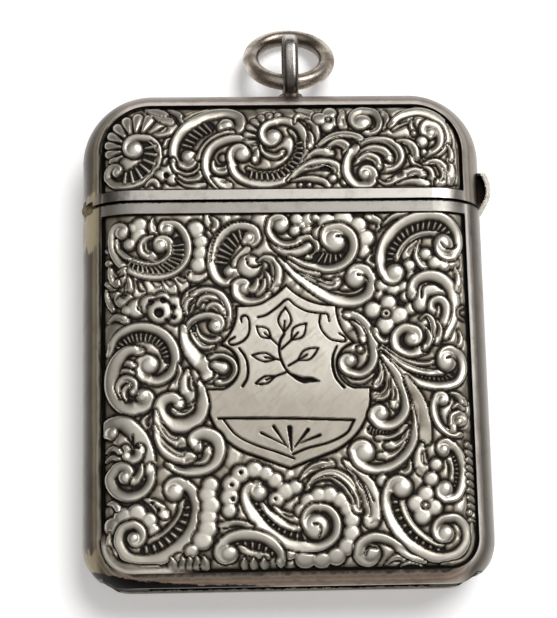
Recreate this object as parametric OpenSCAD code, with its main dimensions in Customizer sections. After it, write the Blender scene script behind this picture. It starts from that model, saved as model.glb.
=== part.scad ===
// Silver vesta case: a small pocket box for matches with a side-hinged sprung lid,
// a sunk striker in the base and a chain ring on the lid. It lies on its back:
// +X to the thumbpiece, +Y to the ring, +Z out of the ornamented front. Millimetres.

/* [Case] */
// Width of the closed case, side to side
case_w = 41; // [37:0.5:46]
// Length of the closed case, flat base to the top of the lid
case_l = 51; // [46:0.5:58]
// Thickness of the case, back to front
case_t = 11; // [10:0.25:12]
// Height of the lid above the joint line
lid_h = 12.6; // [11.5:0.1:15]
// Thickness of the silver at the plain borders
wall = 1; // [0.9:0.05:1.1]
// Open gap along the joint line
joint_gap = 0.25; // [0.15:0.05:0.35]
// Corner radius of the lid beyond the round of the sides
lid_corner = 1.7; // [1:0.1:3]
// Corner radius at the base beyond the round of the sides
base_corner = 0.5; // [0.3:0.1:1.5]

/* [Ornament] */
// Depth of the sunk fields that the chased scrolls stand in
field_depth = 0.6; // [0.4:0.05:0.7]
// Depth of the tops of the main scrolls below the plain borders
scroll_depth = 0.28; // [0.2:0.02:0.34]
// Width of the scrolls' stems
stem_w = 0.44; // [0.3:0.02:0.5]
// Width of the plain border at the sides and the top
border_w = 2.1; // [1.8:0.1:2.8]
// Width of the plain border above the base
base_border = 1.3; // [1:0.1:2]
// Width of the plain band on the lid at the joint
lid_band = 1; // [0.8:0.1:1.6]
// Width of the plain band on the body at the joint
body_band = 1.15; // [0.8:0.1:1.6]
// Corner radius of the lid's field
lid_field_r = 5; // [3:0.2:6]
// Corner radius of the body's field
body_field_r = 3; // [2:0.2:5]

/* [Shield] */
// Thickness of the applied shield, front and back
shield_t = 0.55; // [0.45:0.05:0.6]
// Height of the shield's top point above the middle of the case
shield_top = 4.2; // [3.4:0.1:5]
// Half width of the shield at its shoulders
shield_neck = 5; // [4.4:0.1:5.6]
// Radius of the hollows either side of the top point
shield_brow_r = 6; // [5.4:0.1:7]
// Radius of the hollow sides that run out from the shoulders to the ears
shield_side_r = 4.6; // [4:0.1:5.4]
// Height of the hollow sides' centres above the middle of the case
shield_shoulder = 1.7; // [1.2:0.1:2.4]
// Half width of the shield at the waist below the ears
shield_waist = 4.85; // [4.4:0.05:5.4]
// Radius of the round notches at the waist
shield_notch_r = 2.3; // [2:0.1:2.7]
// Height of the step out to the wide lower part, from the middle of the case
shield_step = -6.3; // [-8:0.1:-5]
// Radius of the two arcs that meet in the lower point
shield_arc_r = 9.85; // [9:0.05:11]
// Sideways place of the arcs' centres
shield_arc_x = 1.6; // [1:0.1:2.4]
// Height of the arcs' centres from the middle of the case
shield_arc_y = -4.2; // [-5.5:0.1:-3]
// Level edge between each brow's lowest point and the shoulder
shield_lip = 0.4; // [0.2:0.1:0.6]
// How far the notches bite into the line of the step
notch_bite = 0.1; // [0.06:0.02:0.2]

/* [Base] */
// How much of the round end the flat base cuts away
base_cut = 1.3; // [1.1:0.05:1.6]
// Radius of the base's corners, seen from the front
base_round = 5; // [4.6:0.1:6]
// How far those rounds would run out past the sides
round_past = 0.2; // [0.1:0.05:0.3]
// Thickness of the striker plate
striker_t = 0.8; // [0.6:0.1:1.2]
// Overlap of the striker plate behind each edge of its channel
striker_ledge = 0.3; // [0.2:0.05:0.5]
// Pitch of the striker's ridges
ridge_pitch = 0.9; // [0.6:0.05:1.4]
// Height of the striker's ridges
ridge_h = 0.35; // [0.2:0.05:0.6]
// Inset of the ridges from the edges of the channel
ridge_inset = 0.15; // [0.1:0.05:0.3]
// Clearance round the striker plate inside the base
striker_fit = 0.02; // [0.01:0.01:0.05]
// How far the channel is cut past the face of the striker plate
channel_past = 0.05; // [0.02:0.01:0.1]

/* [Collar] */
// Height of the collar above the joint line
collar_rise = 1.8; // [1.2:0.1:2.4]
// Depth of the collar inside the body
collar_depth = 4; // [3:0.2:6]
// Thickness of the collar's standing edge
collar_t = 0.5; // [0.4:0.05:0.6]
// Clearance of the collar inside the lid
collar_clear = 0.3; // [0.2:0.05:0.4]

/* [Hinge] */
// Outer radius of the knuckles
knuckle_r = 0.85; // [0.75:0.05:0.95]
// Radius of the hinge pin
pin_r = 0.35; // [0.25:0.02:0.45]
// Running clearance round the pin
pin_clear = 0.04; // [0.02:0.01:0.08]
// Length of the lid's middle knuckle
lid_knuckle_l = 1.8; // [1.7:0.1:2.2]
// Length of each of the body's two knuckles
body_knuckle_l = 1; // [0.8:0.1:1.2]
// Gap between neighbouring knuckles
knuckle_gap = 0.1; // [0.06:0.02:0.2]
// Clearance of the notches round the knuckles
notch_clear = 0.2; // [0.15:0.05:0.3]
// Radius of the round relief along the pin that lets the lid's edge turn
relief_r = 0.65; // [0.6:0.05:0.8]
// Half length of that relief
relief_half = 3.4; // [3.2:0.1:4]
// Thickness of the hinge leaves
leaf_t = 0.6; // [0.45:0.05:0.8]
// Reach of the hinge leaves from the pin
leaf_h = 4; // [3:0.2:5]

/* [Spring] */
// Thickness of the leaf spring
spring_t = 0.4; // [0.3:0.05:0.5]
// Width of the leaf spring
spring_w = 1.6; // [1.2:0.1:1.8]
// Length of the leaf spring
spring_l = 22; // [16:0.5:28]
// Clearance between the spring's tip and the lid's knuckle
spring_clear = 0.1; // [0.06:0.02:0.2]
// Length of the seat that carries the spring
seat_l = 6; // [5:0.5:9]
// Thickness of the seat at its middle
seat_t = 0.5; // [0.4:0.05:0.7]
// Radius of the rivet shanks
rivet_r = 0.3; // [0.2:0.05:0.4]
// Radius of the rivet heads
rivet_head_r = 0.6; // [0.5:0.05:0.75]
// Height of the rivet heads
rivet_head_h = 0.3; // [0.2:0.05:0.4]
// Distance between the two rivets
rivet_pitch = 3; // [2.4:0.2:4]

/* [Thumbpiece] */
// Length of the thumbpiece along the side
thumb_l = 3.5; // [3:0.1:4.4]
// How far the thumbpiece stands out from the side
thumb_out = 1; // [0.8:0.1:1.6]
// How far its two ends stand out
thumb_end = 0.5; // [0.3:0.05:0.6]
// Thickness of the thumbpiece, back to front
thumb_t = 4; // [3:0.1:4.6]
// Height of the thumbpiece's lower end above the joint line
thumb_lift = 0.2; // [0.2:0.05:0.6]
// Thickness of the lip round its hollow front
thumb_lip = 0.5; // [0.4:0.05:0.8]
// Depth of its hollow front
thumb_hollow = 1.3; // [0.8:0.1:1.8]

/* [Chain ring] */
// Sideways place of the loop on the lid
loop_x = 1.2; // [-2:0.1:2]
// Radius of the loop's foot
foot_r = 1.25; // [1.1:0.05:1.5]
// Height of the foot
foot_h = 0.35; // [0.3:0.05:0.8]
// Half the thickness of the loop's strip, which is round at its edges
loop_wire_r = 0.55; // [0.45:0.05:0.65]
// Width of the loop's strip, side to side
loop_w = 1.6; // [1.4:0.1:1.9]
// Clear opening of the loop, back to front
loop_gap = 2.1; // [1.9:0.05:2.6]
// Length of the loop beyond the foot
loop_l = 7.25; // [6.5:0.05:8]
// How deep the loop's strip is let into the foot
loop_seat = 0.5; // [0.3:0.05:0.6]
// Outer diameter of the chain ring
ring_d = 9.8; // [9:0.1:12]
// Radius of the ring's wire
ring_wire_r = 0.84; // [0.7:0.02:0.9]
// Clearance between the ring and the loop
ring_clear = 0.12; // [0.08:0.02:0.2]
// Clearance between the ring and the table
table_clear = 0.05; // [0.02:0.01:0.1]

/* [Hidden] */
$fn = 64;

// The sides are full rounds, so their radius is half the thickness
side_r = case_t / 2;
half_w = case_w / 2;
flat_half = half_w - side_r;
joint_y = case_l / 2 - lid_h;
body_l = case_l - lid_h;
body_reach = body_l + base_cut;
// Room past every face for a clean cut
over = 1;

// Striker: the flat inside the base sets the height of the channel, which runs out at both sides
inner_r = side_r - wall;
inner_drop = inner_r - base_cut;
slot_half_h = sqrt(inner_r ^ 2 - inner_drop ^ 2) - striker_ledge;
striker_y = -case_l / 2 + wall;
ridge_count = floor(flat_half / ridge_pitch);
ridge_end = ridge_count * ridge_pitch;
striker_half_h = slot_half_h - ridge_inset;

// Hinge: the knuckles lie flush in the left side, with the pin along Z
hinge_x = knuckle_r - half_w;
hinge_half = lid_knuckle_l / 2 + knuckle_gap + body_knuckle_l;
notch_half = hinge_half + notch_clear;
notch_r = knuckle_r + notch_clear;
collar_notch_half = relief_half + notch_clear;
collar_notch_x = flat_half + leaf_t + collar_clear;

// Spring: it stands off the left wall on its seat, with its tip under the lid's knuckle
spring_x = seat_t + wall - half_w;
spring_top = joint_y - knuckle_r - spring_clear;
spring_bottom = spring_top - spring_l;

// Thumbpiece: a slice of a disc whose chord lies inside the round of the side
thumb_sink = side_r - sqrt(side_r ^ 2 - (thumb_t / 2) ^ 2);
thumb_bow = thumb_out - thumb_end;
thumb_r = ((thumb_l / 2) ^ 2 + thumb_bow ^ 2) / (2 * thumb_bow);
thumb_y = joint_y + thumb_lift + thumb_l / 2;
thumb_x = half_w + thumb_out - thumb_r;

// Chain ring: it lies in the near end of the loop, and its far side lies on the table
foot_y = case_l / 2 + foot_h;
loop_bow = loop_gap / 2 + loop_wire_r;
loop_y = foot_y + loop_wire_r - loop_seat + loop_bow;
loop_straight = loop_l - 2 * loop_bow - 2 * loop_wire_r;
ring_r = ring_d / 2 - ring_wire_r;
ring_y = foot_y + 2 * loop_wire_r - loop_seat + ring_clear + ring_wire_r;
ring_z = side_r - loop_gap / 2 + ring_clear + ring_wire_r;
ring_tilt = asin((ring_z - ring_wire_r - table_clear) / (2 * ring_r));

// Scrolls, as drawn on the front of a case of the size below. A stem is an arc through three points,
// and a boss has a centre and a radius. They spread with the case when it is resized.
DRAWN_W = 41;
DRAWN_L = 51;
drawn_scale = [case_w / DRAWN_W, case_l / DRAWN_L];
// How deep the scrolls are rooted in the wall
root_depth = (field_depth + wall) / 2;

LID_STEMS = [
    // left scroll
    [[-16.6, 14.8], [-14, 15.3], [-12.7, 17.5]], [[-12.7, 18.3], [-13.6, 19.5], [-14.9, 19.6]],
    // second scroll
    [[-11, 17.8], [-9.7, 20.8], [-6.8, 22.4]], [[-6.1, 22.5], [-4.7, 22.2], [-4.2, 21.1]],
    // middle ring
    [[-7.5, 15.6], [-7.5, 18.1], [-5.6, 19.4]], [[-4.9, 19.5], [-3.6, 19.2], [-2.8, 18.3]],
    // centre spiral
    [[-5.1, 16.4], [-3.9, 15.1], [-1.8, 14.8]], [[-1.1, 14.9], [1.3, 16], [2.3, 18.3]],
    [[2.3, 19.2], [1.3, 21.1], [-0.9, 21.3]],
    // leaves right of the centre
    [[6.3, 22.4], [6.1, 21.6], [6.2, 20.8]], [[8.9, 20], [10, 21.3], [8.9, 22.6]],
    [[3.5, 18.5], [5, 19.6], [6.9, 19.8]], [[4.6, 18.4], [5.8, 18.9], [6.5, 18]],
    [[3, 16.6], [4.3, 16.8], [5.4, 16.2]],
    // acanthus and its volute
    [[7.9, 18.8], [10.6, 19.1], [11.9, 17.4]], [[8, 18], [9.7, 18.2], [10.9, 17.2]],
    [[6.6, 17], [6.6, 15.5], [7.6, 14.6]],
    // right scroll
    [[11.8, 21.6], [13.9, 22.5], [15.9, 21.9]], [[16.4, 21.3], [16.9, 19.8], [16.2, 18.4]],
    [[14.8, 16.8], [16.2, 16.5], [16.5, 15.2]], [[10.6, 14.8], [12, 15.3], [13.6, 15.8]],
    [[12.3, 19.1], [13.3, 18.3], [13.4, 17.1]]];
LID_BOSSES = [
    [-15, 18.3, 0.7], [-16.9, 16.1, 0.4], [-9.6, 17.7, 0.5], [-5.7, 21, 0.5], [-4.1, 17.9, 0.6],
    [-0.9, 19.6, 0.65], [4.1, 21.7, 0.45], [5.2, 22.3, 0.4], [8.2, 21.3, 0.7], [8.3, 15.6, 0.45],
    [15.1, 20, 0.5], [14.2, 18.9, 0.45]];

BODY_STEMS = [
    // top left scroll
    [[-17.3, 7.8], [-15.2, 5.7], [-12.4, 5.3]], [[-11.8, 5.4], [-9.8, 7.4], [-10.6, 10.2]],
    [[-16.6, 7.9], [-14.6, 6.6], [-12.3, 6.7]],
    // ladder scroll and the acanthus beside the shield's point
    [[-7.1, 5.6], [-6.9, 8.5], [-4.6, 10.3]], [[-4.5, 5.5], [-4.7, 6.5], [-3.6, 7.4]],
    [[-2.2, 7], [-1, 6], [-1.2, 4.6]],
    // curl, boat and great boss at the top middle
    [[-0.9, 8], [0.5, 7.5], [2, 7.9]], [[1.2, 6.6], [3.2, 5.9], [5.2, 6]],
    [[5.9, 6.4], [6.9, 8], [5.8, 9.9]],
    // stems that sweep round the shield's point
    [[0.2, 5.9], [2.8, 3.7], [6, 2.4]], [[6.8, 2.4], [8.5, 3.6], [7.9, 5.6]],
    [[2, 5.1], [3.4, 4.4], [5, 4.2]],
    // top right scroll
    [[9.7, 6.4], [10.4, 9], [12.6, 10.8]], [[13.2, 11], [16.2, 10.9], [17.6, 8.7]],
    [[11.2, 6.8], [12.4, 8.6], [14.6, 9.4]], [[13.3, 7.9], [13.3, 6.7], [14.1, 5.8]],
    // right curl
    [[12.6, 3.2], [14.2, 4.9], [16.3, 4.1]], [[16.8, 3.3], [16.9, 1.8], [16.3, -0.1]],
    [[15.6, 2.3], [16, 1.3], [15.5, 0]], [[14.2, 0.8], [14.6, -0.5], [14.2, -1.9]],
    [[12.4, -2.9], [10.8, -2], [11.4, -0.5]],
    // curls left of the shield
    [[-8, 3.5], [-6.4, 2.8], [-6, 0.9]], [[-10.1, 1.4], [-9.8, 2.7], [-8.9, 3.4]],
    [[-10.1, -0.4], [-9.1, 0.7], [-7.7, 1.1]], [[-10, -1.6], [-9.3, -2.9], [-8.1, -4.1]],
    [[-9.2, -0.6], [-8.7, -1.7], [-7.4, -2.1]],
    // great left scroll
    [[-17.5, -1.9], [-15.2, 0], [-12.4, -0.6]], [[-11.9, -1.1], [-11.1, -3.3], [-12.6, -5.3]],
    [[-15, -2.3], [-16.8, -3.2], [-17.6, -5.2]], [[-17.4, -6], [-16.7, -7.6], [-14.9, -8.1]],
    [[-16.6, -6.5], [-16.2, -5.3], [-15.2, -5.8]],
    // curls below one another at the left
    [[-8.6, -6.9], [-9, -9.2], [-10.6, -9.9]], [[-11.3, -9.8], [-12.6, -8.6], [-11.9, -7.3]],
    [[-13, -9.3], [-12.2, -10.8], [-10.6, -11.6]], [[-12.6, -11.7], [-11.6, -12.6], [-9.9, -13.1]],
    [[-8.9, -10.9], [-7.2, -11.2], [-7, -12.9]], [[-7.5, -13.7], [-9.2, -14.4], [-11.5, -14]],
    [[-16.6, -9.6], [-14.8, -11], [-13.8, -13.3]], [[-13.5, -14.6], [-14.6, -16.5], [-16.8, -16.5]],
    // bottom left scroll
    [[-9.5, -16.4], [-9.2, -19], [-10.7, -21.6]], [[-11.3, -22], [-14, -23], [-16.3, -22.2]],
    [[-16.7, -21.4], [-16.6, -20.2], [-15.4, -19.5]],
    // bottom middle scroll and the acanthus over it
    [[-4.3, -17.2], [-2.6, -20.1], [0.4, -21.8]], [[1.2, -21.9], [3.9, -21.2], [4.2, -18.9]],
    [[-2.7, -18], [-1.7, -19], [-0.2, -19.9]], [[2, -15.7], [4.2, -14.9], [6.2, -16.8]],
    [[1.4, -14.9], [2.6, -14.2], [3.9, -13.9]], [[5.7, -14.3], [7.3, -16.4], [7.9, -19.2]],
    [[-1.6, -21.8], [-4, -20.7], [-6.6, -21.4]],
    // hook right of the shield and the stems that fan from it
    [[7, 0.7], [8.3, -1.2], [8.5, -3.3]], [[8.2, -4.1], [7.2, -4.9], [6.2, -4.8]],
    [[10.2, -3.9], [12.6, -5.7], [15.4, -6.3]], [[16.1, -6.2], [17.5, -4.7], [16.6, -2.7]],
    [[10.4, -3.3], [12.2, -4.4], [14.3, -4.9]], [[10.7, -5.4], [11.5, -7.4], [11.2, -9.2]],
    [[10.6, -9.9], [9.3, -10.1], [8.4, -9.5]], [[12.4, -7.8], [12.4, -10.6], [11.2, -13.2]],
    [[10.6, -13.7], [8.6, -14.5], [6.7, -13.8]], [[13.3, -9.2], [13.4, -10.5], [13.3, -11.8]],
    [[9.9, -5.2], [9.9, -6.5], [9, -7.2]], [[11.4, -11.2], [10.7, -12], [9.6, -12.2]],
    [[12.9, -12.6], [12.8, -13.5], [12.9, -14.5]],
    // curls at the right edge and the bottom right scroll
    [[16.4, -11.1], [14.7, -10], [14.5, -7.9]], [[16.3, -12.5], [17.1, -14.5], [16.5, -16.9]],
    [[9.4, -17], [9.9, -19.8], [11.8, -22.1]], [[12.5, -22.6], [14.6, -23.3], [16.7, -22.3]],
    [[17.1, -21.6], [17, -20.2], [15.6, -19.4]], [[11, -18.2], [11.8, -20], [13.6, -21.6]],
    [[10.6, -22.4], [9, -21.3], [7, -21.5]]];
BODY_BOSSES = [
    [-16.4, 9.7, 0.55], [-12.5, 8.3, 0.55], [-11.7, 9.9, 0.4], [-14.5, 9.3, 0.4],
    [-8.9, 10.1, 0.45], [-8.4, 8.7, 0.4], [-8.4, 7.5, 0.4], [-8.9, 6.3, 0.4], [-9.6, 5.4, 0.4],
    [-13.2, 4, 0.5], [-11.8, 4, 0.45], [-5.6, 5.6, 0.45], [-3.7, 9, 0.45], [-3.6, 6.4, 0.4],
    [-4.1, 3.8, 0.45], [-0.4, 10.3, 0.55], [5, 8.6, 0.85], [4.1, 10.6, 0.45], [5.9, 10.8, 0.45],
    [7.4, 10.3, 0.45], [8.1, 8.9, 0.5], [6.9, 4.8, 0.75], [16, 8.2, 0.75], [11, 5.3, 0.65],
    [15, 6.2, 0.4], [16, 6.1, 0.4], [17, 6.3, 0.4], [12.5, 5.9, 0.35], [10.2, 2.2, 0.45],
    [8.6, 1.5, 0.5], [11.2, 0.9, 0.5], [9.8, -0.1, 0.5], [12.4, -1.5, 0.5], [-15, 1.8, 0.5],
    [-7.1, 0.1, 0.45], [-6.8, -4.1, 0.5], [-13.7, -3.7, 0.7], [-14.3, -6.8, 0.5],
    [-17.4, -10.5, 0.4], [-16.1, -14.9, 0.45], [-11.3, -16.4, 0.6], [-15.2, -20.9, 0.45],
    [-17.3, -19.3, 0.4], [-16.4, -18.4, 0.45], [-15, -18.1, 0.5], [-13.8, -18.8, 0.4],
    [-8.1, -15.9, 0.45], [-7.9, -17.5, 0.45], [-8, -19, 0.45], [-8.6, -20.8, 0.5],
    [-5.9, -17, 0.5], [-1.5, -15.4, 0.45], [-0.6, -16.5, 0.5], [-3.1, -16.6, 0.55],
    [2.4, -20, 0.95], [1.7, -17.5, 0.4], [2.7, -17, 0.4], [3.8, -16.9, 0.4], [4.8, -17.4, 0.4],
    [5.6, -18.2, 0.4], [5.9, -19.3, 0.4], [5.8, -20.6, 0.4], [5.5, -21.9, 0.5], [4.4, -22.9, 0.55],
    [1.2, -23.2, 0.55], [-6.1, -22.6, 0.65], [6.2, -3.6, 0.5], [15.8, -3.7, 0.75], [9.1, -9, 0.5],
    [7.4, -12.6, 0.75], [15.3, -7.8, 0.35], [17, -9.8, 0.4], [15.1, -12.7, 0.5],
    [15.1, -16.5, 0.55], [13.2, -17, 0.45], [12.2, -17.9, 0.45], [13.9, -18.3, 0.45],
    [12.8, -19.1, 0.5], [10.9, -16.3, 0.7], [15, -20.9, 0.6], [7.7, -22.8, 0.65]];

// Centre of the circle through three points
function arc_centre(a, b, c) =
    let (twice = 2 * (a.x * (b.y - c.y) + b.x * (c.y - a.y) + c.x * (a.y - b.y)))
    [(a * a) * (b.y - c.y) + (b * b) * (c.y - a.y) + (c * c) * (a.y - b.y),
     (a * a) * (c.x - b.x) + (b * b) * (a.x - c.x) + (c * c) * (b.x - a.x)] / twice;

// Degrees from one bearing on to another, counter-clockwise
function onward(from, to) = let (turn = to - from) turn - 360 * floor(turn / 360);

function bearing(v) = atan2(v.y, v.x);

function spread(p) = [p.x * drawn_scale.x, p.y * drawn_scale.y];

// Right half of a disc
module half_disc(r) {
    intersection() {
        circle(r);
        translate([0, -r])
            square([r, 2 * r]);
    }
}

// Cross-section of the case: a flat middle with round sides
module section(flat, r) {
    square([2 * flat, 2 * r], center = true);
    translate([flat, 0])
        half_disc(r);
    mirror([1, 0])
        translate([flat, 0])
            half_disc(r);
}

// Half of that section, from the turning axis outwards
module half_section(flat, r) {
    translate([0, -r])
        square([flat, 2 * r]);
    translate([flat, 0])
        half_disc(r);
}

// Pillow-shaped solid that starts at y = start and ends round at y = reach,
// shrunk on every side by inset
module pillow(reach, corner, inset, start) {
    r = side_r - inset;
    straight = flat_half - corner;
    corner_y = reach - side_r - corner;
    translate([0, 0, side_r]) {
        translate([0, corner_y, 0])
            rotate([90, 0, 0])
                linear_extrude(corner_y - start)
                    section(flat_half, r);
        translate([-straight, corner_y, 0])
            rotate([90, 0, 90])
                linear_extrude(2 * straight)
                    half_section(corner, r);
        translate([straight, corner_y, 0])
            rotate_extrude(angle = 90)
                half_section(corner, r);
        translate([-straight, corner_y, 0])
            rotate([0, 0, 90])
                rotate_extrude(angle = 90)
                    half_section(corner, r);
    }
}

// Everything on the front side of the seam between the two halves
module front_side() {
    translate([-case_w, -case_l, side_r])
        cube([2 * case_w, 2 * case_l, side_r + over]);
}

module to_back() {
    translate([0, 0, case_t])
        mirror([0, 0, 1])
            children();
}

// The body grows from the joint line towards the base
module body_frame() {
    translate([0, joint_y, 0])
        mirror([0, 1, 0])
            children();
}

module lid_frame() {
    translate([0, joint_y, 0])
        children();
}

// Outline that is square at its near end and round at its far corners
module round_ended(half, near, far, r) {
    translate([-half, near])
        square([2 * half, far - r - near]);
    translate([r - half, far - r])
        square([2 * (half - r), r]);
    for (side = [0, 1])
        mirror([side, 0])
            translate([half - r, far - r])
                intersection() {
                    circle(r);
                    square(r);
                }
}

// Upright wall along a stem, from the seam out past the front
module stem(points) {
    a = spread(points[0]);
    b = spread(points[1]);
    c = spread(points[2]);
    centre = arc_centre(a, b, c);
    r = norm(a - centre);
    first = bearing(a - centre);
    last = bearing(c - centre);
    ahead = onward(first, bearing(b - centre)) < onward(first, last);
    translate([centre.x, centre.y, side_r])
        rotate([0, 0, ahead ? first : last])
            rotate_extrude(angle = ahead ? onward(first, last) : onward(last, first))
                translate([r - stem_w / 2, 0])
                    square([stem_w, side_r + over]);
}

module boss(place) {
    translate([place.x * drawn_scale.x, place.y * drawn_scale.y, side_r])
        cylinder(r = place[2], h = side_r + over);
}

// Main scrolls of a field, rooted in the wall and clear of the shield
module scrolls(stems, bosses) {
    difference() {
        union() {
            for (points = stems)
                stem(points);
            for (place = bosses)
                boss(place);
        }
        translate([0, 0, side_r])
            linear_extrude(side_r + 2 * over)
                shield_outline();
    }
}

// Notch through the left side for the knuckles, and a round relief for the edges that turn past it
module hinge_notch() {
    translate([hinge_x - 2 * knuckle_r, joint_y - notch_r, side_r - notch_half])
        cube([2 * knuckle_r + notch_r, 2 * notch_r, 2 * notch_half]);
    translate([hinge_x, joint_y, side_r - relief_half])
        cylinder(r = relief_r, h = 2 * relief_half);
}

module body_solid(inset, start) {
    body_frame()
        intersection() {
            pillow(body_reach, base_corner, inset, start);
            translate([0, 0, -over])
                linear_extrude(case_t + 2 * over)
                    round_ended(half_w + round_past - inset, start - over, body_l - inset,
                                base_round - inset);
        }
}

module body_field() {
    body_frame()
        translate([0, 0, side_r])
            linear_extrude(side_r + over)
                round_ended(half_w - border_w, joint_gap / 2 + body_band, body_l - base_border,
                            body_field_r);
}

module lid_field() {
    lid_frame()
        translate([0, 0, side_r])
            linear_extrude(side_r + over)
                round_ended(half_w - border_w, joint_gap / 2 + lid_band, lid_h - border_w, lid_field_r);
}

module body_half() {
    intersection() {
        front_side();
        difference() {
            body_solid(0, joint_gap / 2);
            body_solid(wall, -over);
            difference() {
                body_field();
                body_frame()
                    pillow(body_reach, base_corner, field_depth, 0);
            }
            translate([-case_w, striker_y - 2 * wall, side_r - slot_half_h])
                cube([2 * case_w, 2 * wall + channel_past, 2 * slot_half_h]);
            hinge_notch();
        }
    }
    intersection() {
        body_field();
        scrolls(BODY_STEMS, BODY_BOSSES);
        body_frame()
            difference() {
                pillow(body_reach, base_corner, scroll_depth, 0);
                pillow(body_reach, base_corner, root_depth, -over);
            }
    }
}

module lid_half() {
    intersection() {
        front_side();
        difference() {
            lid_frame()
                difference() {
                    pillow(lid_h, lid_corner, 0, joint_gap / 2);
                    pillow(lid_h, lid_corner, wall, -over);
                }
            difference() {
                lid_field();
                lid_frame()
                    pillow(lid_h, lid_corner, field_depth, 0);
            }
            hinge_notch();
        }
    }
    intersection() {
        lid_field();
        scrolls(LID_STEMS, LID_BOSSES);
        lid_frame()
            difference() {
                pillow(lid_h, lid_corner, scroll_depth, 0);
                pillow(lid_h, lid_corner, root_depth, -over);
            }
    }
}

module body_front() {
    color("silver")
        body_half();
}

module body_back() {
    color("silver")
        to_back()
            body_half();
}

module lid_front() {
    color("silver")
        lid_half();
}

module lid_back() {
    color("silver")
        to_back()
            lid_half();
}

// Shield with a pointed top, hollow sides out to two ears, a notched waist and a wide pointed foot
module shield_outline() {
    brow_x = shield_neck - shield_lip;
    brow_y = shield_top + sqrt(pow(shield_brow_r, 2) - pow(brow_x, 2));
    notch_x = shield_waist + shield_notch_r;
    difference() {
        translate([-notch_x, shield_step - over])
            square([2 * notch_x, shield_top - shield_step + 2 * over]);
        for (side = [-1, 1]) {
            translate([side * brow_x, brow_y])
                circle(shield_brow_r);
            translate([side * (shield_neck + shield_side_r), shield_shoulder])
                circle(shield_side_r);
            translate([side * notch_x, shield_step + shield_notch_r - notch_bite])
                circle(shield_notch_r);
        }
    }
    intersection() {
        translate([shield_arc_x, shield_arc_y])
            circle(shield_arc_r);
        translate([-shield_arc_x, shield_arc_y])
            circle(shield_arc_r);
        translate([-case_w, shield_step - case_l])
            square([2 * case_w, case_l]);
    }
}

// The shield lies on the floor of the sunk field
module shield() {
    translate([0, 0, case_t - field_depth])
        linear_extrude(shield_t)
            shield_outline();
}

module shield_front() {
    color("gainsboro")
        shield();
}

module shield_back() {
    color("gainsboro")
        to_back()
            shield();
}

// Dark plate across the inside of the base: its ridges stand in the channel, and its ends fill
// the channel where that runs out at the corners
module striker() {
    color("dimgray") {
        intersection() {
            body_solid(wall + striker_fit, 0);
            translate([-case_w, striker_y, 0])
                cube([2 * case_w, striker_t, case_t]);
        }
        intersection() {
            body_solid(ridge_inset, 0);
            translate([0, striker_y, side_r - striker_half_h])
                linear_extrude(2 * striker_half_h) {
                    polygon(concat(
                        [[-ridge_end, striker_t / 2]],
                        [for (i = [-ridge_count : ridge_count - 1], step = [0, 1])
                            [(i + step / 2) * ridge_pitch, -step * ridge_h]],
                        [[ridge_end, 0], [ridge_end, striker_t / 2]]));
                    for (side = [0, 1])
                        mirror([side, 0])
                            translate([ridge_end - ridge_pitch / 2, -wall]) {
                                square([half_w, wall]);
                                square([ridge_pitch, wall + striker_t / 2]);
                            }
                }
        }
    }
}

// Inner collar: soldered inside the body's mouth, with a thinner edge that the lid slips over
module mouth_collar() {
    bore = wall + collar_clear + collar_t;
    color("goldenrod")
        difference() {
            union() {
                body_frame()
                    collar_tube(wall, joint_gap / 2, collar_depth);
                body_frame()
                    collar_tube(wall + collar_clear, -collar_rise, joint_gap / 2);
            }
            body_frame()
                collar_tube(bore, -collar_rise - over, collar_depth + over);
            translate([-case_w, joint_y - collar_depth - over, side_r - collar_notch_half])
                cube([case_w - collar_notch_x, collar_depth + collar_rise + 2 * over,
                      2 * collar_notch_half]);
        }
}

module collar_tube(inset, from, to) {
    translate([0, to, side_r])
        rotate([90, 0, 0])
            linear_extrude(to - from)
                section(flat_half, side_r - inset);
}

// Knuckle on the pin, with a leaf that is curved to lie on the inside of the left side
module knuckle(bottom, length, leaf_from, leaf_to) {
    difference() {
        union() {
            translate([hinge_x, joint_y, bottom])
                cylinder(r = knuckle_r, h = length);
            intersection() {
                translate([-flat_half, joint_y + leaf_to, side_r])
                    rotate([90, 0, 0])
                        linear_extrude(leaf_to - leaf_from)
                            difference() {
                                circle(inner_r);
                                circle(inner_r - leaf_t);
                            }
                translate([-case_w, joint_y - case_l, bottom])
                    cube([case_w - flat_half, 2 * case_l, length]);
            }
        }
        translate([hinge_x, joint_y, bottom - over])
            cylinder(r = pin_r + pin_clear, h = length + 2 * over);
    }
}

module body_knuckle_front() {
    color("silver")
        knuckle(side_r + lid_knuckle_l / 2 + knuckle_gap, body_knuckle_l, -leaf_h, 0);
}

module body_knuckle_back() {
    color("silver")
        knuckle(side_r - hinge_half, body_knuckle_l, -leaf_h, 0);
}

module lid_knuckle() {
    color("silver")
        knuckle(side_r - lid_knuckle_l / 2, lid_knuckle_l, 0, leaf_h);
}

module hinge_pin() {
    color("dimgray")
        translate([hinge_x, joint_y, side_r - hinge_half])
            cylinder(r = pin_r, h = 2 * hinge_half);
}

// Rivet holes through the spring and its seat
module along_rivets() {
    for (side = [-1, 1])
        translate([spring_x, spring_bottom + seat_l / 2 + side * rivet_pitch / 2, side_r])
            rotate([0, 90, 0])
                children();
}

module hinge_spring() {
    color("slategray")
        difference() {
            translate([spring_x, spring_bottom, side_r - spring_w / 2])
                cube([spring_t, spring_l, spring_w]);
            along_rivets()
                cylinder(r = rivet_r, h = 2 * over, center = true);
        }
}

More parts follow.
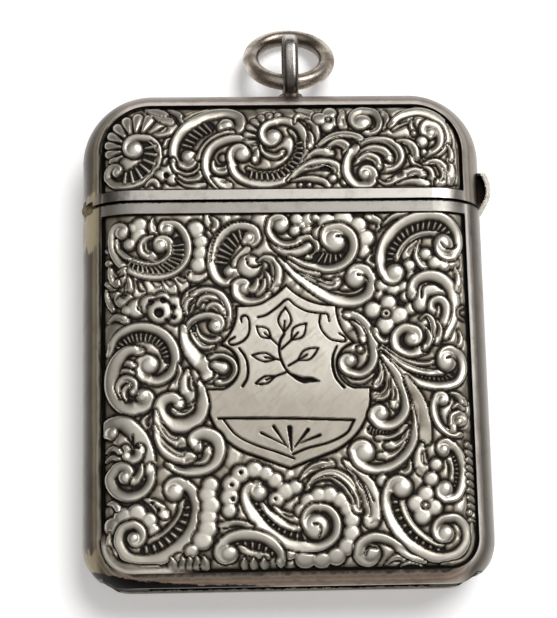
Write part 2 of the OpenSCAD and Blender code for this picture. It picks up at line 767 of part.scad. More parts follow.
// Seat: flat towards the spring and curved to the inside of the left side
module spring_seat() {
    color("silver")
        difference() {
            intersection() {
                translate([-flat_half, spring_bottom + seat_l, side_r])
                    rotate([90, 0, 0])
                        cylinder(r = inner_r, h = seat_l);
                translate([-case_w, spring_bottom, side_r - spring_w / 2])
                    cube([case_w + spring_x, seat_l, spring_w]);
            }
            along_rivets()
                cylinder(r = rivet_r, h = 4 * over, center = true);
        }
}

module spring_rivets() {
    shank = seat_t / 2;
    color("slategray")
        along_rivets() {
            translate([0, 0, -shank])
                cylinder(r = rivet_r, h = shank + spring_t);
            translate([0, 0, spring_t])
                cylinder(r = rivet_head_r, h = rivet_head_h);
        }
}

// Slice of the thumbpiece's disc, shrunk by inset at its edge and its two ends
module thumb_slice(inset, h) {
    intersection() {
        translate([thumb_x, thumb_y, 0])
            cylinder(r = thumb_r - inset, h = h);
        translate([flat_half, thumb_y - thumb_l / 2 + inset / 2, -over])
            cube([side_r + thumb_out + over, thumb_l - inset, h + 2 * over]);
    }
}

// Thumbpiece: a bowed lug with a hollow front, curved to sit on the right side of the lid
module thumbpiece() {
    color("silver")
        difference() {
            translate([0, 0, side_r - thumb_t / 2])
                thumb_slice(0, thumb_t);
            translate([0, 0, side_r + thumb_t / 2 - thumb_hollow])
                thumb_slice(thumb_lip, thumb_hollow + over);
            translate([flat_half, joint_y + lid_h, side_r])
                rotate([90, 0, 0])
                    cylinder(r = side_r, h = 2 * lid_h);
            translate([0, joint_y - lid_h, -over])
                cube([half_w - thumb_sink, 3 * lid_h, case_t + 2 * over]);
        }
}

// Foot: a short collar under the loop, hollowed to sit on the round top of the lid
module loop_foot() {
    color("silver")
        difference() {
            translate([loop_x, foot_y, side_r])
                rotate([90, 0, 0])
                    cylinder(r = foot_r, h = foot_h + foot_r);
            translate([loop_x - foot_r - over, case_l / 2 - side_r, side_r])
                rotate([0, 90, 0])
                    cylinder(r = side_r, h = 2 * (foot_r + over));
        }
}

// Cross-section of the loop's strip: flat inside and outside, round at its edges
module loop_section() {
    spread = loop_w / 2 - loop_wire_r;
    square([2 * loop_wire_r, 2 * spread], center = true);
    for (side = [-1, 1])
        translate([0, side * spread])
            circle(loop_wire_r);
}

module loop_bend() {
    rotate_extrude(angle = 180)
        translate([loop_bow, 0])
            loop_section();
}

// Loop: an oval eye of flat strip in the plane square to the front, let into its foot
module chain_loop() {
    color("silver")
        difference() {
            translate([loop_x, loop_y, side_r])
                rotate([0, 90, 0]) {
                    rotate([0, 0, 180])
                        loop_bend();
                    translate([0, loop_straight, 0])
                        loop_bend();
                    for (side = [-1, 1])
                        translate([side * loop_bow, 0, 0])
                            rotate([-90, 0, 0])
                                linear_extrude(loop_straight)
                                    loop_section();
                }
            translate([loop_x - loop_w, foot_y - over, 0])
                cube([2 * loop_w, over, case_t]);
        }
}

module chain_ring() {
    color("rosybrown")
        translate([loop_x, ring_y, ring_z])
            rotate([-ring_tilt, 0, 0])
                translate([0, ring_r, 0])
                    rotate_extrude()
                        translate([ring_r, 0])
                            circle(ring_wire_r);
}

body_front();
body_back();
shield_front();
shield_back();
striker();
mouth_collar();
body_knuckle_front();
body_knuckle_back();
hinge_pin();
hinge_spring();
spring_seat();
spring_rivets();
lid_front();
lid_back();
lid_knuckle();
thumbpiece();
loop_foot();
chain_loop();
chain_ring();
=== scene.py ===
# Vesta case: a pocket box for matches in chased silver, with a sprung lid, a ring for the watch chain
# and a striker in the base. It lies on its back, ornamented side up, as in the photograph.
import math
import bpy
import numpy as np
from mathutils import Matrix, Vector
from mathutils.bvhtree import BVHTree


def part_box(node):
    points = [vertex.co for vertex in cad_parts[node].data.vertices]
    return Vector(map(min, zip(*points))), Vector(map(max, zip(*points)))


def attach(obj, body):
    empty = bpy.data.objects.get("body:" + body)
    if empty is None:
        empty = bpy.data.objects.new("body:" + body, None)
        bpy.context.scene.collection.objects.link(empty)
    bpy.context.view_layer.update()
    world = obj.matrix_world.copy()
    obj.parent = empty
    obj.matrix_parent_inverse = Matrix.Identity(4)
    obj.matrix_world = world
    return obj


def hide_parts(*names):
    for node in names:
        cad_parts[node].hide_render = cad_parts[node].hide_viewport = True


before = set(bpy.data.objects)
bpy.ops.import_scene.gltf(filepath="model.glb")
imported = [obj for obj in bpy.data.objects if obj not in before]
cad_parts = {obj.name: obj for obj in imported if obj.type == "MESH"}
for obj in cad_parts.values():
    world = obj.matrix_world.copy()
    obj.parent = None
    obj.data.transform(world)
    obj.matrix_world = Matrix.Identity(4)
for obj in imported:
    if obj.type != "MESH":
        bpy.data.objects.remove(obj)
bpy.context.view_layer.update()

# Camera: it stands over the base end, a little to the hinge's side, and looks down at the front.
# Its place and turn were fitted to the corners of the case, in the part's own millimetres.
MM = 0.001
CAMERA_PLACE = (-8.78, -40.02, 190.30)
CAMERA_RIGHT = (0.99899, -0.02117, 0.03953)
CAMERA_UP = (0.01167, 0.97388, 0.22675)
CAMERA_BACK = (-0.04330, -0.22606, 0.97315)
SENSOR_WIDTH = 36
FOCAL_PIXELS, FRAME_PIXELS = 1856, 557
camera_data = bpy.data.cameras.new("camera")
camera_data.sensor_fit = "HORIZONTAL"
camera_data.sensor_width = SENSOR_WIDTH
camera_data.lens = SENSOR_WIDTH * FOCAL_PIXELS / FRAME_PIXELS
camera_data.clip_start = 0.01
camera = bpy.data.objects.new("camera", camera_data)
turn = Matrix((CAMERA_RIGHT, CAMERA_UP, CAMERA_BACK)).transposed().to_4x4()
turn.translation = [MM * v for v in CAMERA_PLACE]
camera.matrix_world = turn
bpy.context.scene.collection.objects.link(camera)
bpy.context.scene.camera = camera


# Floor: a plain white sheet, far wider than the case, that takes its shadow.
# The camera and the polished silver both see it as white.
def feed(tree, socket, value):
    """Wires a socket to another one, or sets it to a plain value."""
    if isinstance(value, bpy.types.NodeSocket):
        tree.links.new(value, socket)
    else:
        socket.default_value = value


def put(tree, kind, sockets=None, **settings):
    """Adds one shader node, with its settings, and feeds its sockets."""
    node = tree.nodes.new("ShaderNode" + kind)
    for key, value in settings.items():
        setattr(node, key, value)
    for key, value in (sockets or {}).items():
        feed(tree, node.inputs[key], value)
    return node


def maths(tree, operation, *values, clamp=False):
    """One step of arithmetic in a shader."""
    node = put(tree, "Math", dict(enumerate(values)), operation=operation, use_clamp=clamp)
    return node.outputs[0]


def new_material(name):
    """A fresh material, with its tree and its shader."""
    material = bpy.data.materials.new(name)
    material.use_nodes = True
    tree = material.node_tree
    return material, tree, tree.nodes["Principled BSDF"]


FLOOR_HALF = 30
FLOOR_DROP = 0.03 * MM
WHITE_TO_CAMERA, WHITE_IN_SILVER = 0.27, 0.25
floor_mesh = bpy.data.meshes.new("floor")
floor_mesh.from_pydata([(FLOOR_HALF * u, FLOOR_HALF * v, -FLOOR_DROP)
                        for u, v in ((-1, -1), (1, -1), (1, 1), (-1, 1))], [], [(0, 1, 2, 3)])
floor = bpy.data.objects.new("floor", floor_mesh)
bpy.context.scene.collection.objects.link(floor)
white, tree, shader = new_material("white sheet")
shader.inputs["Base Color"].default_value = (0.90, 0.90, 0.90, 1)
shader.inputs["Roughness"].default_value = 0.9
shader.inputs["Specular IOR Level"].default_value = 0.1
path = put(tree, "LightPath").outputs
mirrored = maths(tree, "MAXIMUM", path["Is Glossy Ray"], path["Is Transmission Ray"])
mirrored = maths(tree, "MULTIPLY", mirrored, WHITE_IN_SILVER)
seen = maths(tree, "MULTIPLY_ADD", path["Is Camera Ray"], WHITE_TO_CAMERA, mirrored)
tree.links.new(seen, shader.inputs["Emission Strength"])
shader.inputs["Emission Color"].default_value = (1, 1, 1, 1)
floor_mesh.materials.append(white)

# Light: a broad lamp overhead, towards the ring, that throws the soft shadow on the sheet, and a second to
# the thumbpiece's side that only the polished metal sees. The room is bright above and dim at the walls.
for name, energy, spread, turned in (("sheet lamp", 2.15, 26, (-20, 16, 0)),
                                     ("silver lamp", 1.15, 34, (-25, 30, 0))):
    lamp_data = bpy.data.lights.new(name, "SUN")
    lamp_data.energy = energy
    lamp_data.angle = math.radians(spread)
    lamp = bpy.data.objects.new(name, lamp_data)
    lamp.rotation_euler = [math.radians(v) for v in turned]
    lamp.visible_glossy = name == "silver lamp"
    lamp.visible_diffuse = name == "sheet lamp"
    bpy.context.scene.collection.objects.link(lamp)


def ramp(tree, factor, *stops):
    """Colours or greys along a factor: stops of (place, grey) or (place, (r, g, b))."""
    node = put(tree, "ValToRGB", {0: factor})
    band = node.color_ramp
    while len(band.elements) < len(stops):
        band.elements.new(1)
    for element, (place, tone) in zip(band.elements, stops):
        element.position = place
        element.color = (*tone, 1) if isinstance(tone, tuple) else (tone, tone, tone, 1)
    return node.outputs[0]


world = bpy.data.worlds.new("room")
bpy.context.scene.world = world
world.use_nodes = True
tree = world.node_tree
direction = put(tree, "TexCoord").outputs["Generated"]
upness = put(tree, "SeparateXYZ", {0: direction}).outputs[2]
height = maths(tree, "MULTIPLY_ADD", upness, 0.5, 0.5)
upward = ramp(tree, height, (0.5, (0.80, 0.79, 0.78)), (0.56, (0.40, 0.37, 0.35)),
              (0.66, (0.05, 0.045, 0.04)), (0.78, (0.10, 0.095, 0.09)), (0.9, (0.45, 0.44, 0.43)),
              (1, (0.70, 0.69, 0.67)))
tree.links.new(upward, tree.nodes["Background"].inputs["Color"])
bpy.context.scene.view_settings.view_transform = "Standard"


# Body: two struck halves of sheet silver, soldered along the sides, with the round border left plain.
# Outside it is worn and dull at the sides and the base; inside it is gilt.
def group(name, inputs, outputs):
    """An effect shared by several materials; returns its tree, its inputs and its outputs."""
    tree = bpy.data.node_groups.new(name, "ShaderNodeTree")
    for label, kind, value in inputs:
        socket = tree.interface.new_socket(label, in_out="INPUT", socket_type="NodeSocket" + kind)
        socket.default_value = value
    for label, kind in outputs:
        tree.interface.new_socket(label, in_out="OUTPUT", socket_type="NodeSocket" + kind)
    return tree, tree.nodes.new("NodeGroupInput").outputs, tree.nodes.new("NodeGroupOutput").inputs


def use(tree, effect, **values):
    """Places a shared effect in a tree, with its own values, and returns what it puts out."""
    node = tree.nodes.new("ShaderNodeGroup")
    node.node_tree = effect
    for key, value in values.items():
        feed(tree, node.inputs[key], value)
    return node.outputs


def mixed(tree, factor, first, second, blend="MIX"):
    """Two colours mixed by a factor."""
    node = put(tree, "Mix", {0: factor, 6: first, 7: second}, data_type="RGBA", blend_type=blend)
    return node.outputs[2]


def split(tree, vector):
    """The three parts of a vector."""
    return put(tree, "SeparateXYZ", {0: vector}).outputs


# Hairlines from years in a pocket: long thin scratches in three directions
hairlines, given, made = group("hairlines", [("Scale", "Float", 9000.0), ("Depth", "Float", 1.0)],
                               [("Height", "Float"), ("Dulling", "Float")])
place = put(hairlines, "TexCoord").outputs["Object"]
deepest = 0.0
for angle, stretch in ((24, 33), (-52, 22), (80, 40)):
    turned = put(hairlines, "Mapping", {"Vector": place, "Rotation": (0.2, 0.1, math.radians(angle)),
                                        "Scale": (1, stretch, 1)}, vector_type="TEXTURE").outputs[0]
    streak = put(hairlines, "TexNoise", {"Vector": turned, "Scale": given["Scale"],
                                         "Detail": 1.0}).outputs["Fac"]
    deepest = maths(hairlines, "MAXIMUM", deepest, ramp(hairlines, streak, (0.60, 0.0), (0.72, 1.0)))
scored = maths(hairlines, "MULTIPLY", deepest, given["Depth"])
hairlines.links.new(maths(hairlines, "SUBTRACT", 1.0, scored), made["Height"])
hairlines.links.new(scored, made["Dulling"])

# Tarnish: broad clouds of brown bloom broken up by fine specks
tarnish, given, made = group("tarnish", [("Scale", "Float", 160.0), ("Amount", "Float", 0.5)],
                             [("Mask", "Float"), ("Specks", "Float")])
place = put(tarnish, "TexCoord").outputs["Object"]
cloud = put(tarnish, "TexNoise", {"Vector": place, "Scale": given["Scale"], "Detail": 7.0,
                                  "Roughness": 0.62})
fine = put(tarnish, "TexNoise", {"Vector": place, "Scale": maths(tarnish, "MULTIPLY", given["Scale"], 14.0),
                                 "Detail": 4.0})
cover = maths(tarnish, "ADD", cloud.outputs["Fac"], maths(tarnish, "SUBTRACT", given["Amount"], 0.5))
tarnish.links.new(ramp(tarnish, cover, (0.40, 0.0), (0.62, 1.0)), made["Mask"])
tarnish.links.new(ramp(tarnish, fine.outputs["Fac"], (0.42, 0.0), (0.66, 1.0)), made["Specks"])

# Where a surface lies inside the case rather than on its outside, from its place in the case
SIDE_ROUND, FLAT_HALF, THICK = 5.5, 15.0, 11.0
BODY_END, BODY_CORNER = -21.3, 0.5  # where the flat ends, and how round its corners are
LID_END, LID_CORNER = 20.0, 1.7
INSIDE_FROM = 0.8  # a little less than the wall's thickness
CHANNEL_FLOOR, CHANNEL_ROOF = -25.28, -24.3
inside, given, made = group("inside of the case", [], [("Mask", "Float")])
place = split(inside, put(inside, "TexCoord").outputs["Object"])
lidward = maths(inside, "GREATER_THAN", place[1], 0.0)
corner = maths(inside, "MULTIPLY_ADD", lidward, (LID_CORNER - BODY_CORNER) * MM, BODY_CORNER * MM)
past = maths(inside, "SUBTRACT", maths(inside, "ABSOLUTE", place[0]), FLAT_HALF * MM)
ends = maths(inside, "MAXIMUM", maths(inside, "SUBTRACT", place[1], LID_END * MM),
             maths(inside, "SUBTRACT", BODY_END * MM, place[1]))
span = 0.0
for reach in (past, ends):
    reach = maths(inside, "MAXIMUM", maths(inside, "ADD", reach, corner), 0.0)
    span = maths(inside, "MULTIPLY_ADD", reach, reach, span)
round_off = maths(inside, "MAXIMUM", maths(inside, "SUBTRACT", maths(inside, "SQRT", span), corner), 0.0)
level = maths(inside, "SUBTRACT", place[2], SIDE_ROUND * MM)
span = maths(inside, "MULTIPLY_ADD", level, level, maths(inside, "MULTIPLY", round_off, round_off))
within = maths(inside, "LESS_THAN", maths(inside, "SQRT", span), (SIDE_ROUND - INSIDE_FROM) * MM)
clear = maths(inside, "GREATER_THAN", place[1], CHANNEL_ROOF * MM)
inside.links.new(maths(inside, "MULTIPLY", within, clear), made["Mask"])

# Plain silver by its lie, in painted reflections and shade: bright on top, a painted highlight on the arris,
# a dark band and a paler one round each side; tarnish makes it browner to the hinge and rosier at the ends;
# grime in the joint, soot and painted shade in the channel of the base.
GILT = (0.78, 0.52, 0.20, 1)
TAN = (0.29, 0.245, 0.155, 1)
NEAR_BLACK = (0.012, 0.011, 0.010, 1)
FLAT_SILVER = (0.70, 0.675, 0.63)
JOINT, BODY_BAND, LID_BAND = 12.9, 11.5, 14.1
FLAT_FROM = 10.2
CHANNEL_LOW, CHANNEL_HIGH = 2.5, 8.5
BLACK_EDGE_FROM, BLACK_EDGE_REACH = -23.8, 2.0
HINGE_WEAR, FOOT_WEAR, SIDE_WEAR = (8.6, 14.0), (-27.0, -22.0), (-23.0, -18.7)
STAIN_ACROSS = (-23.0, -15.2)


def between(tree, value, low, high, soft):
    """One where a value lies between two bounds, fading out over a soft edge."""
    rise = put(tree, "MapRange", {0: value, 1: low - soft, 2: low + soft}, interpolation_type="SMOOTHSTEP")
    fall = put(tree, "MapRange", {0: value, 1: high - soft, 2: high + soft}, interpolation_type="SMOOTHSTEP")
    return maths(tree, "SUBTRACT", rise.outputs[0], fall.outputs[0], clamp=True)


def worn_metal(name, cloud, amount, scratch, depth=1.0):
    """A metal's material to begin with: its tree and its shader, with tarnish and hairlines at hand."""
    material, tree, shader = new_material(name)
    bloom = use(tree, tarnish, Scale=cloud, Amount=amount)
    return material, tree, shader, bloom, use(tree, hairlines, Scale=scratch, Depth=depth)


def surface(tree, shader, colour, roughness, height, strength, depth=0.01 * MM, metallic=1):
    """Wires a finish: its colour, its roughness, how metallic it is and the fine relief on it."""
    bump = put(tree, "Bump", {"Height": height, "Strength": strength, "Distance": depth})
    for label, value in (("Base Color", colour), ("Roughness", roughness), ("Metallic", metallic),
                         ("Normal", bump.outputs[0])):
        feed(tree, shader.inputs[label], value)


def dress(material, *names):
    """Gives solids of the frame their finish."""
    for name in names:
        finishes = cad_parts[name].data.materials
        finishes.clear()
        finishes.append(material)


shell, tree, shader, bloom, lines = worn_metal("worn silver shell", 150.0, 0.42, 7000.0, 0.8)
fleck = use(tree, tarnish, Scale=700.0, Amount=0.38)
coordinates = put(tree, "TexCoord").outputs
facing = split(tree, coordinates["Normal"])
in_mm = put(tree, "VectorMath", {0: coordinates["Object"], 3: 1 / MM}, operation="SCALE").outputs[0]
x, y, z = split(tree, in_mm)
drawn_out = put(tree, "Mapping", {"Vector": in_mm, "Scale": (1, 0.3, 1)}).outputs[0]
worn = put(tree, "TexNoise", {"Vector": drawn_out, "Scale": 1.1, "Detail": 5.0,
                              "Roughness": 0.6}).outputs["Fac"]
wander = maths(tree, "SUBTRACT", worn, 0.5)
upright = maths(tree, "SUBTRACT", 1.0, maths(tree, "ABSOLUTE", facing[2]))
upright = maths(tree, "MULTIPLY_ADD", wander, 0.07, upright)
# each ramp paints reflections and shade by how far the surface turns from the top: a highlight on the arris,
# a dark band
lidward = ramp(tree, upright, (0.0, FLAT_SILVER), (0.2, (0.62, 0.58, 0.53)), (0.235, (0.64, 0.575, 0.52)),
               (0.28, (0.52, 0.465, 0.425)), (0.31, (0.2, 0.165, 0.145)), (0.4, (0.19, 0.155, 0.13)),
               (0.5, (0.24, 0.2, 0.165)), (0.75, (0.26, 0.22, 0.185)), (1, (0.47, 0.435, 0.39)))
baseward_reflections_and_tarnish = ramp(tree, upright, (0.0, FLAT_SILVER), (0.14, (0.5, 0.46, 0.4)), (0.175, (0.2, 0.165, 0.135)),
                (0.2, (0.9, 0.78, 0.67)), (0.228, (0.55, 0.42, 0.325)), (0.257, (0.55, 0.43, 0.35)),
                (0.288, (0.25, 0.195, 0.155)), (0.322, (0.33, 0.265, 0.215)), (0.36, (0.36, 0.31, 0.26)),
                (0.75, (0.36, 0.31, 0.255)), (1, (0.70, 0.625, 0.52)))
rightward_reflections = ramp(tree, upright, (0.0, FLAT_SILVER), (0.2, (0.66, 0.64, 0.60)), (0.216, (0.9, 0.875, 0.81)),
                 (0.24, (0.86, 0.83, 0.77)), (0.275, (0.30, 0.27, 0.24)), (0.335, (0.09, 0.076, 0.064)),
                 (0.40, (0.09, 0.077, 0.065)), (0.5, (0.16, 0.14, 0.115)), (0.7, (0.26, 0.23, 0.2)),
                 (1, (0.48, 0.45, 0.405)))
lid_right_reflections = ramp(tree, upright, (0.0, FLAT_SILVER), (0.2, (0.66, 0.64, 0.60)), (0.22, (0.8, 0.765, 0.7)),
                 (0.245, (0.32, 0.29, 0.25)), (0.31, (0.32, 0.29, 0.25)), (0.34, (0.17, 0.145, 0.12)),
                 (0.4, (0.26, 0.23, 0.19)), (0.7, (0.28, 0.245, 0.205)), (1, (0.48, 0.45, 0.405)))
leftward_shade_and_tarnish = ramp(tree, upright, (0.0, FLAT_SILVER), (0.2, (0.5, 0.47, 0.42)), (0.23, (0.02, 0.016, 0.012)),
                (0.245, (0.02, 0.016, 0.012)), (0.268, (0.34, 0.31, 0.255)), (0.30, (0.135, 0.115, 0.08)),
                (0.345, (0.16, 0.135, 0.093)), (0.385, (0.07, 0.056, 0.04)), (0.45, (0.045, 0.036, 0.027)),
                (0.53, (0.055, 0.044, 0.033)), (0.7, (0.12, 0.1, 0.078)), (1, (0.42, 0.385, 0.33)))
# the painted reflections and shade of the ends, then of the two sides, chosen by which way the surface faces
silver = mixed(tree, maths(tree, "GREATER_THAN", facing[1], 0.0), baseward_reflections_and_tarnish, lidward)
rightward_reflections = mixed(tree, maths(tree, "GREATER_THAN", y, JOINT), rightward_reflections, lid_right_reflections)
for hand, side in ((1.0, rightward_reflections), (-1.0, leftward_shade_and_tarnish)):
    turned = ramp(tree, maths(tree, "MULTIPLY", facing[0], hand), (0.3, 0.0), (0.5, 1.0))
    silver = mixed(tree, turned, silver, side)
# worn through to tan beside the hinge and at the foot of the same side
ragged = maths(tree, "MULTIPLY_ADD", wander, 5.0, y)
bare = maths(tree, "ADD", between(tree, ragged, *HINGE_WEAR, 0.25), between(tree, ragged, *FOOT_WEAR, 0.3))
bare = maths(tree, "MULTIPLY", bare, between(tree, x, *SIDE_WEAR, 0.4))
upper = maths(tree, "MULTIPLY_ADD", wander, 4.0, z)
bare = maths(tree, "MULTIPLY", bare, put(tree, "MapRange", {0: upper, 1: 3.4, 2: 5.4}).outputs[0])
silver = mixed(tree, maths(tree, "MULTIPLY", bare, 0.9), silver, TAN)
# the body's band is duller than the lid's, and the lid's is stained towards the hinge
flat_up = between(tree, z, FLAT_FROM, THICK + 1.0, 0.3)
dulled = maths(tree, "MULTIPLY", between(tree, y, BODY_BAND, JOINT, 0.03), flat_up)
silver = mixed(tree, maths(tree, "MULTIPLY", dulled, 0.75), silver, (0.36, 0.345, 0.315, 1))
stained = maths(tree, "MULTIPLY", between(tree, y, JOINT, LID_BAND, 0.03),
                between(tree, x, *STAIN_ACROSS, 1.6))
stained = maths(tree, "MULTIPLY", stained, ramp(tree, worn, (0.36, 0.0), (0.5, 1.0)))
silver = mixed(tree, maths(tree, "MULTIPLY", stained, 0.75), silver, (0.19, 0.165, 0.16, 1))
# bloom and specks over all of it, gilt within, and grime in the joint
silver = mixed(tree, maths(tree, "MULTIPLY", bloom["Mask"], 0.5), silver, (0.74, 0.66, 0.60, 1), "MULTIPLY")
silver = mixed(tree, maths(tree, "MULTIPLY", fleck["Mask"], 0.5), silver, (0.52, 0.45, 0.40, 1), "MULTIPLY")
depth = use(tree, inside)["Mask"]
worn_gilt = mixed(tree, bloom["Specks"], GILT, (0.66, 0.55, 0.38, 1))
silver = mixed(tree, depth, silver, worn_gilt)
frayed = maths(tree, "MULTIPLY_ADD", maths(tree, "SUBTRACT", fleck["Specks"], 0.5), 0.12, y)
grime = maths(tree, "MULTIPLY", between(tree, y, JOINT - 0.35, JOINT + 0.35, 0.03),
              ramp(tree, maths(tree, "ABSOLUTE", facing[1]), (0.5, 0.0), (0.8, 1.0)))
grime = maths(tree, "MAXIMUM", grime, between(tree, frayed, JOINT - 0.24, JOINT + 0.1, 0.03))
# black lies in the channel and over its edge, reaching further towards the hinge's side: soot, and painted
# shade of the recessed channel
across = maths(tree, "MULTIPLY_ADD", x, 0.5 / (FLAT_HALF + SIDE_ROUND), 0.5)
black_edge_line = ramp(tree, across, (0.03, 0.0), (0.085, 0.275), (0.134, 0.49), (0.207, 0.65), (0.28, 0.725),
             (0.38, 0.775), (0.5, 0.9), (1, 0.9))
black_edge_line = maths(tree, "MULTIPLY_ADD", black_edge_line, -BLACK_EDGE_REACH, BLACK_EDGE_FROM)
frayed = maths(tree, "MULTIPLY_ADD", wander, 0.5, frayed)
black_over_rim = maths(tree, "LESS_THAN", frayed, black_edge_line)
black_over_rim = maths(tree, "MULTIPLY", black_over_rim, maths(tree, "GREATER_THAN", z, CHANNEL_LOW + 0.2))
soot_and_channel_shade = maths(tree, "MULTIPLY", between(tree, frayed, CHANNEL_FLOOR, CHANNEL_ROOF, 0.03),
              between(tree, z, CHANNEL_LOW, CHANNEL_HIGH, 0.05))
soot_and_channel_shade = maths(tree, "MAXIMUM", soot_and_channel_shade, black_over_rim)
silver = mixed(tree, maths(tree, "MAXIMUM", grime, soot_and_channel_shade), silver, NEAR_BLACK)
dull = maths(tree, "MULTIPLY_ADD", bloom["Mask"], 0.12, 0.28)
dull = maths(tree, "MULTIPLY_ADD", dulled, 0.12, dull)
dull = maths(tree, "MULTIPLY_ADD", lines["Dulling"], 0.06, dull)
surface(tree, shader, silver, dull, lines["Height"], 0.15)
dress(shell, "body_front", "body_back")


# Chased field of the body: scrolls, shells and leaves raised in the sheet from behind and sharpened
# from the front, with the lines round them left black. The ground is brown grey, the highs rubbed bright.
FIELD_HALF = 18.4
BODY_NEAR, BODY_FAR, BODY_FIELD_R = 11.625, -24.2, 3.0
RELIEF = 0.58  # how deep the bottom of a line lies under the border
GROUND, FOOT, RUNG_BED = 0.3, 0.2, 0.04  # parts of it: bare ground, foot of a form, bed of the rungs
ROUND_OVER = 2.4  # how flat the top of a ridge is
LINE, LOBE_LINE, THIN_LINE, MOAT = 0.2, 0.14, 0.1, 0.16  # widths of the black lines
CLEAR = 0.1  # no leaf flesh grows nearer to a form or to the border
UNDER_BORDER = 0.42  # how far the sheet runs on under the border
SCROLL_TOP = 0.26  # how deep the solid's own scrolls lie at least
FULL_RAIL, FULL_LEAF, FULL_EYE, FULL_LOBE = 1.5, 1.28, 1.1, 1.13  # fuller than drawn, by so much


class Field:
    """A sunk field under the chaser's punches: heights 0 (bottom of a line) to 1 (flush with the border)."""

    def __init__(self, x0, x1, y0, y1, pitch):
        self.pitch = pitch
        self.x = np.arange(x0, x1 + pitch, pitch)
        self.y = np.arange(y0, y1 + pitch, pitch)
        self.h = np.full((len(self.y), len(self.x)), GROUND)
        self.plate = np.zeros(self.h.shape, bool)
        self.bare = np.ones(self.h.shape, bool)

    def grid(self):
        """Where each cell lies."""
        return np.meshgrid(self.x, self.y)

    def window(self, low, high):
        """The cells between two corners, with where they lie."""
        i = np.searchsorted(self.y, (low[1], high[1]))
        j = np.searchsorted(self.x, (low[0], high[0]))
        span = (slice(*i), slice(*j))
        px, py = np.meshgrid(self.x[span[1]], self.y[span[0]])
        return span, px, py


def through(*points, step=0.06):
    """A smooth path through points picked along a stem, as evenly spaced samples."""
    p = np.array(points, float)
    if len(p) == 2:
        path = p[0] + (p[1] - p[0]) * np.linspace(0, 1, 24)[:, None]
    else:
        q = np.vstack([2 * p[0] - p[1], p, 2 * p[-1] - p[-2]])
        t = np.linspace(0, 1, 24, endpoint=False)[:, None]
        parts = [0.5 * (2 * b + (c - a) * t + (2 * a - 5 * b + 4 * c - d) * t ** 2
                        + (3 * b - a - 3 * c + d) * t ** 3)
                 for a, b, c, d in zip(q, q[1:], q[2:], q[3:])]
        path = np.vstack(parts + [p[-1:]])
    run = np.concatenate([[0], np.cumsum(np.hypot(*np.diff(path, axis=0).T))])
    at = np.linspace(0, run[-1], max(int(run[-1] / step), 4))
    return np.stack([np.interp(at, run, path[:, 0]), np.interp(at, run, path[:, 1])], 1)


def wound(path, eye, wrap):
    """The path carried on in a spiral that closes on its eye (x, y, radius) over wrap degrees."""
    off = path[-1] - np.array(eye[:2])
    turn = math.atan2(off[1], off[0]) + np.radians(np.linspace(0, wrap, 40)[1:])
    reach = np.linspace(np.hypot(*off), 0.5 * eye[2], 40)[1:]
    return np.vstack([path, np.stack([eye[0] + reach * np.cos(turn), eye[1] + reach * np.sin(turn)], 1)])


def eased(t):
    """A rise from 0 to 1 that starts and ends level."""
    t = np.clip(t, 0, 1)
    return t * t * (3 - 2 * t)


def widths(path, width):
    """The half width at each sample of a path, from one width or several along it."""
    return np.interp(np.linspace(0, 1, len(path)), np.linspace(0, 1, np.size(width)), np.ravel(width))


def settle(field, span, out, h, line):
    """Sets heights where a form lies, with a line sunk into what is round it."""
    field.h[span] = np.where(out < 0, h, field.h[span] * eased(out / line))
    field.plate[span] &= out > 0
    field.bare[span] &= out > CLEAR


def raised(field, path, width, top=0.85, balls=(), ribs=0, line=LINE, crest=0, drawn=0):
    """Raises a ridge along a path, with a black line sunk all round it. The crest may lie off its middle,
    towards the outside of the bend, with a slope inward from there, and a broad ridge may have a line drawn
    on it."""
    wide = np.max(width)
    low, high = path.min(0) - wide - line, path.max(0) + wide + line
    for x, y, r in balls:
        low = np.minimum(low, (x - r - line, y - r - line))
        high = np.maximum(high, (x + r + line, y + r + line))
    span, px, py = field.window(low, high)
    if px.size == 0:
        return
    half = widths(path, width)
    gap = (px[..., None] - path[:, 0]) ** 2 + (py[..., None] - path[:, 1]) ** 2
    k = gap.argmin(-1)
    away = np.sqrt(np.take_along_axis(gap, k[..., None], -1)[..., 0])
    across = away / half[k]
    if crest or ribs:
        ahead = np.gradient(path, axis=0)
        side = np.sign(ahead[k, 0] * (py - path[k, 1]) - ahead[k, 1] * (px - path[k, 0]))
    if crest:
        bend = np.gradient(np.unwrap(np.arctan2(ahead[:, 1], ahead[:, 0])))
        bend = np.convolve(np.pad(bend, 8, "edge"), np.ones(17) / 17, "valid")
        outward = -side * across * np.tanh(bend / 0.01)[k]
        slope = np.where(outward > crest, (outward - crest) / (1 - crest), (crest - outward) / (1 + crest))
        steep = np.where(outward > crest, ROUND_OVER, 1.5)
        h = FOOT + (top - FOOT) * np.clip(1 - slope ** steep, 0, 1) ** 0.6
        vein = np.exp(-((outward + 0.25) * half[k] / 0.08) ** 2) * np.sqrt(np.sin(np.pi * k / len(path)))
        h -= drawn * vein * np.clip((half[k] - 0.44) / 0.12, 0, 1)
    else:
        h = FOOT + (top - FOOT) * np.clip(1 - across ** ROUND_OVER, 0, 1) ** 0.5
    if ribs:
        h = h - 0.3 * np.abs(np.cos(np.pi * ribs * (side * across + 1) / 2)) ** 6 * (across < 0.9)
    out = away - half[k]
    for x, y, r in balls:
        far = np.hypot(px - x, py - y)
        dome = FOOT + (1 - FOOT) * np.sqrt(np.clip(1 - (far / r) ** 2, 0, 1))
        h = np.where(far < r, np.maximum(np.where(out < 0, h, 0), dome), h)
        out = np.minimum(out, far - r)
    settle(field, span, out, h, line)


def rail(field, width, *points, top=0.85, start=None, end=None):
    """A rail through points; an end (x, y, radius, wrap) winds it round a ball."""
    path = through(*points)
    width = np.multiply(width, FULL_RAIL)
    balls = []
    for eye in (end, start):
        if eye:
            path = wound(path, eye[:3], eye[3])
            balls.append((eye[0], eye[1], FULL_EYE * eye[2]))
        path = path[::-1]
    raised(field, path, width, top, balls, crest=0.45)


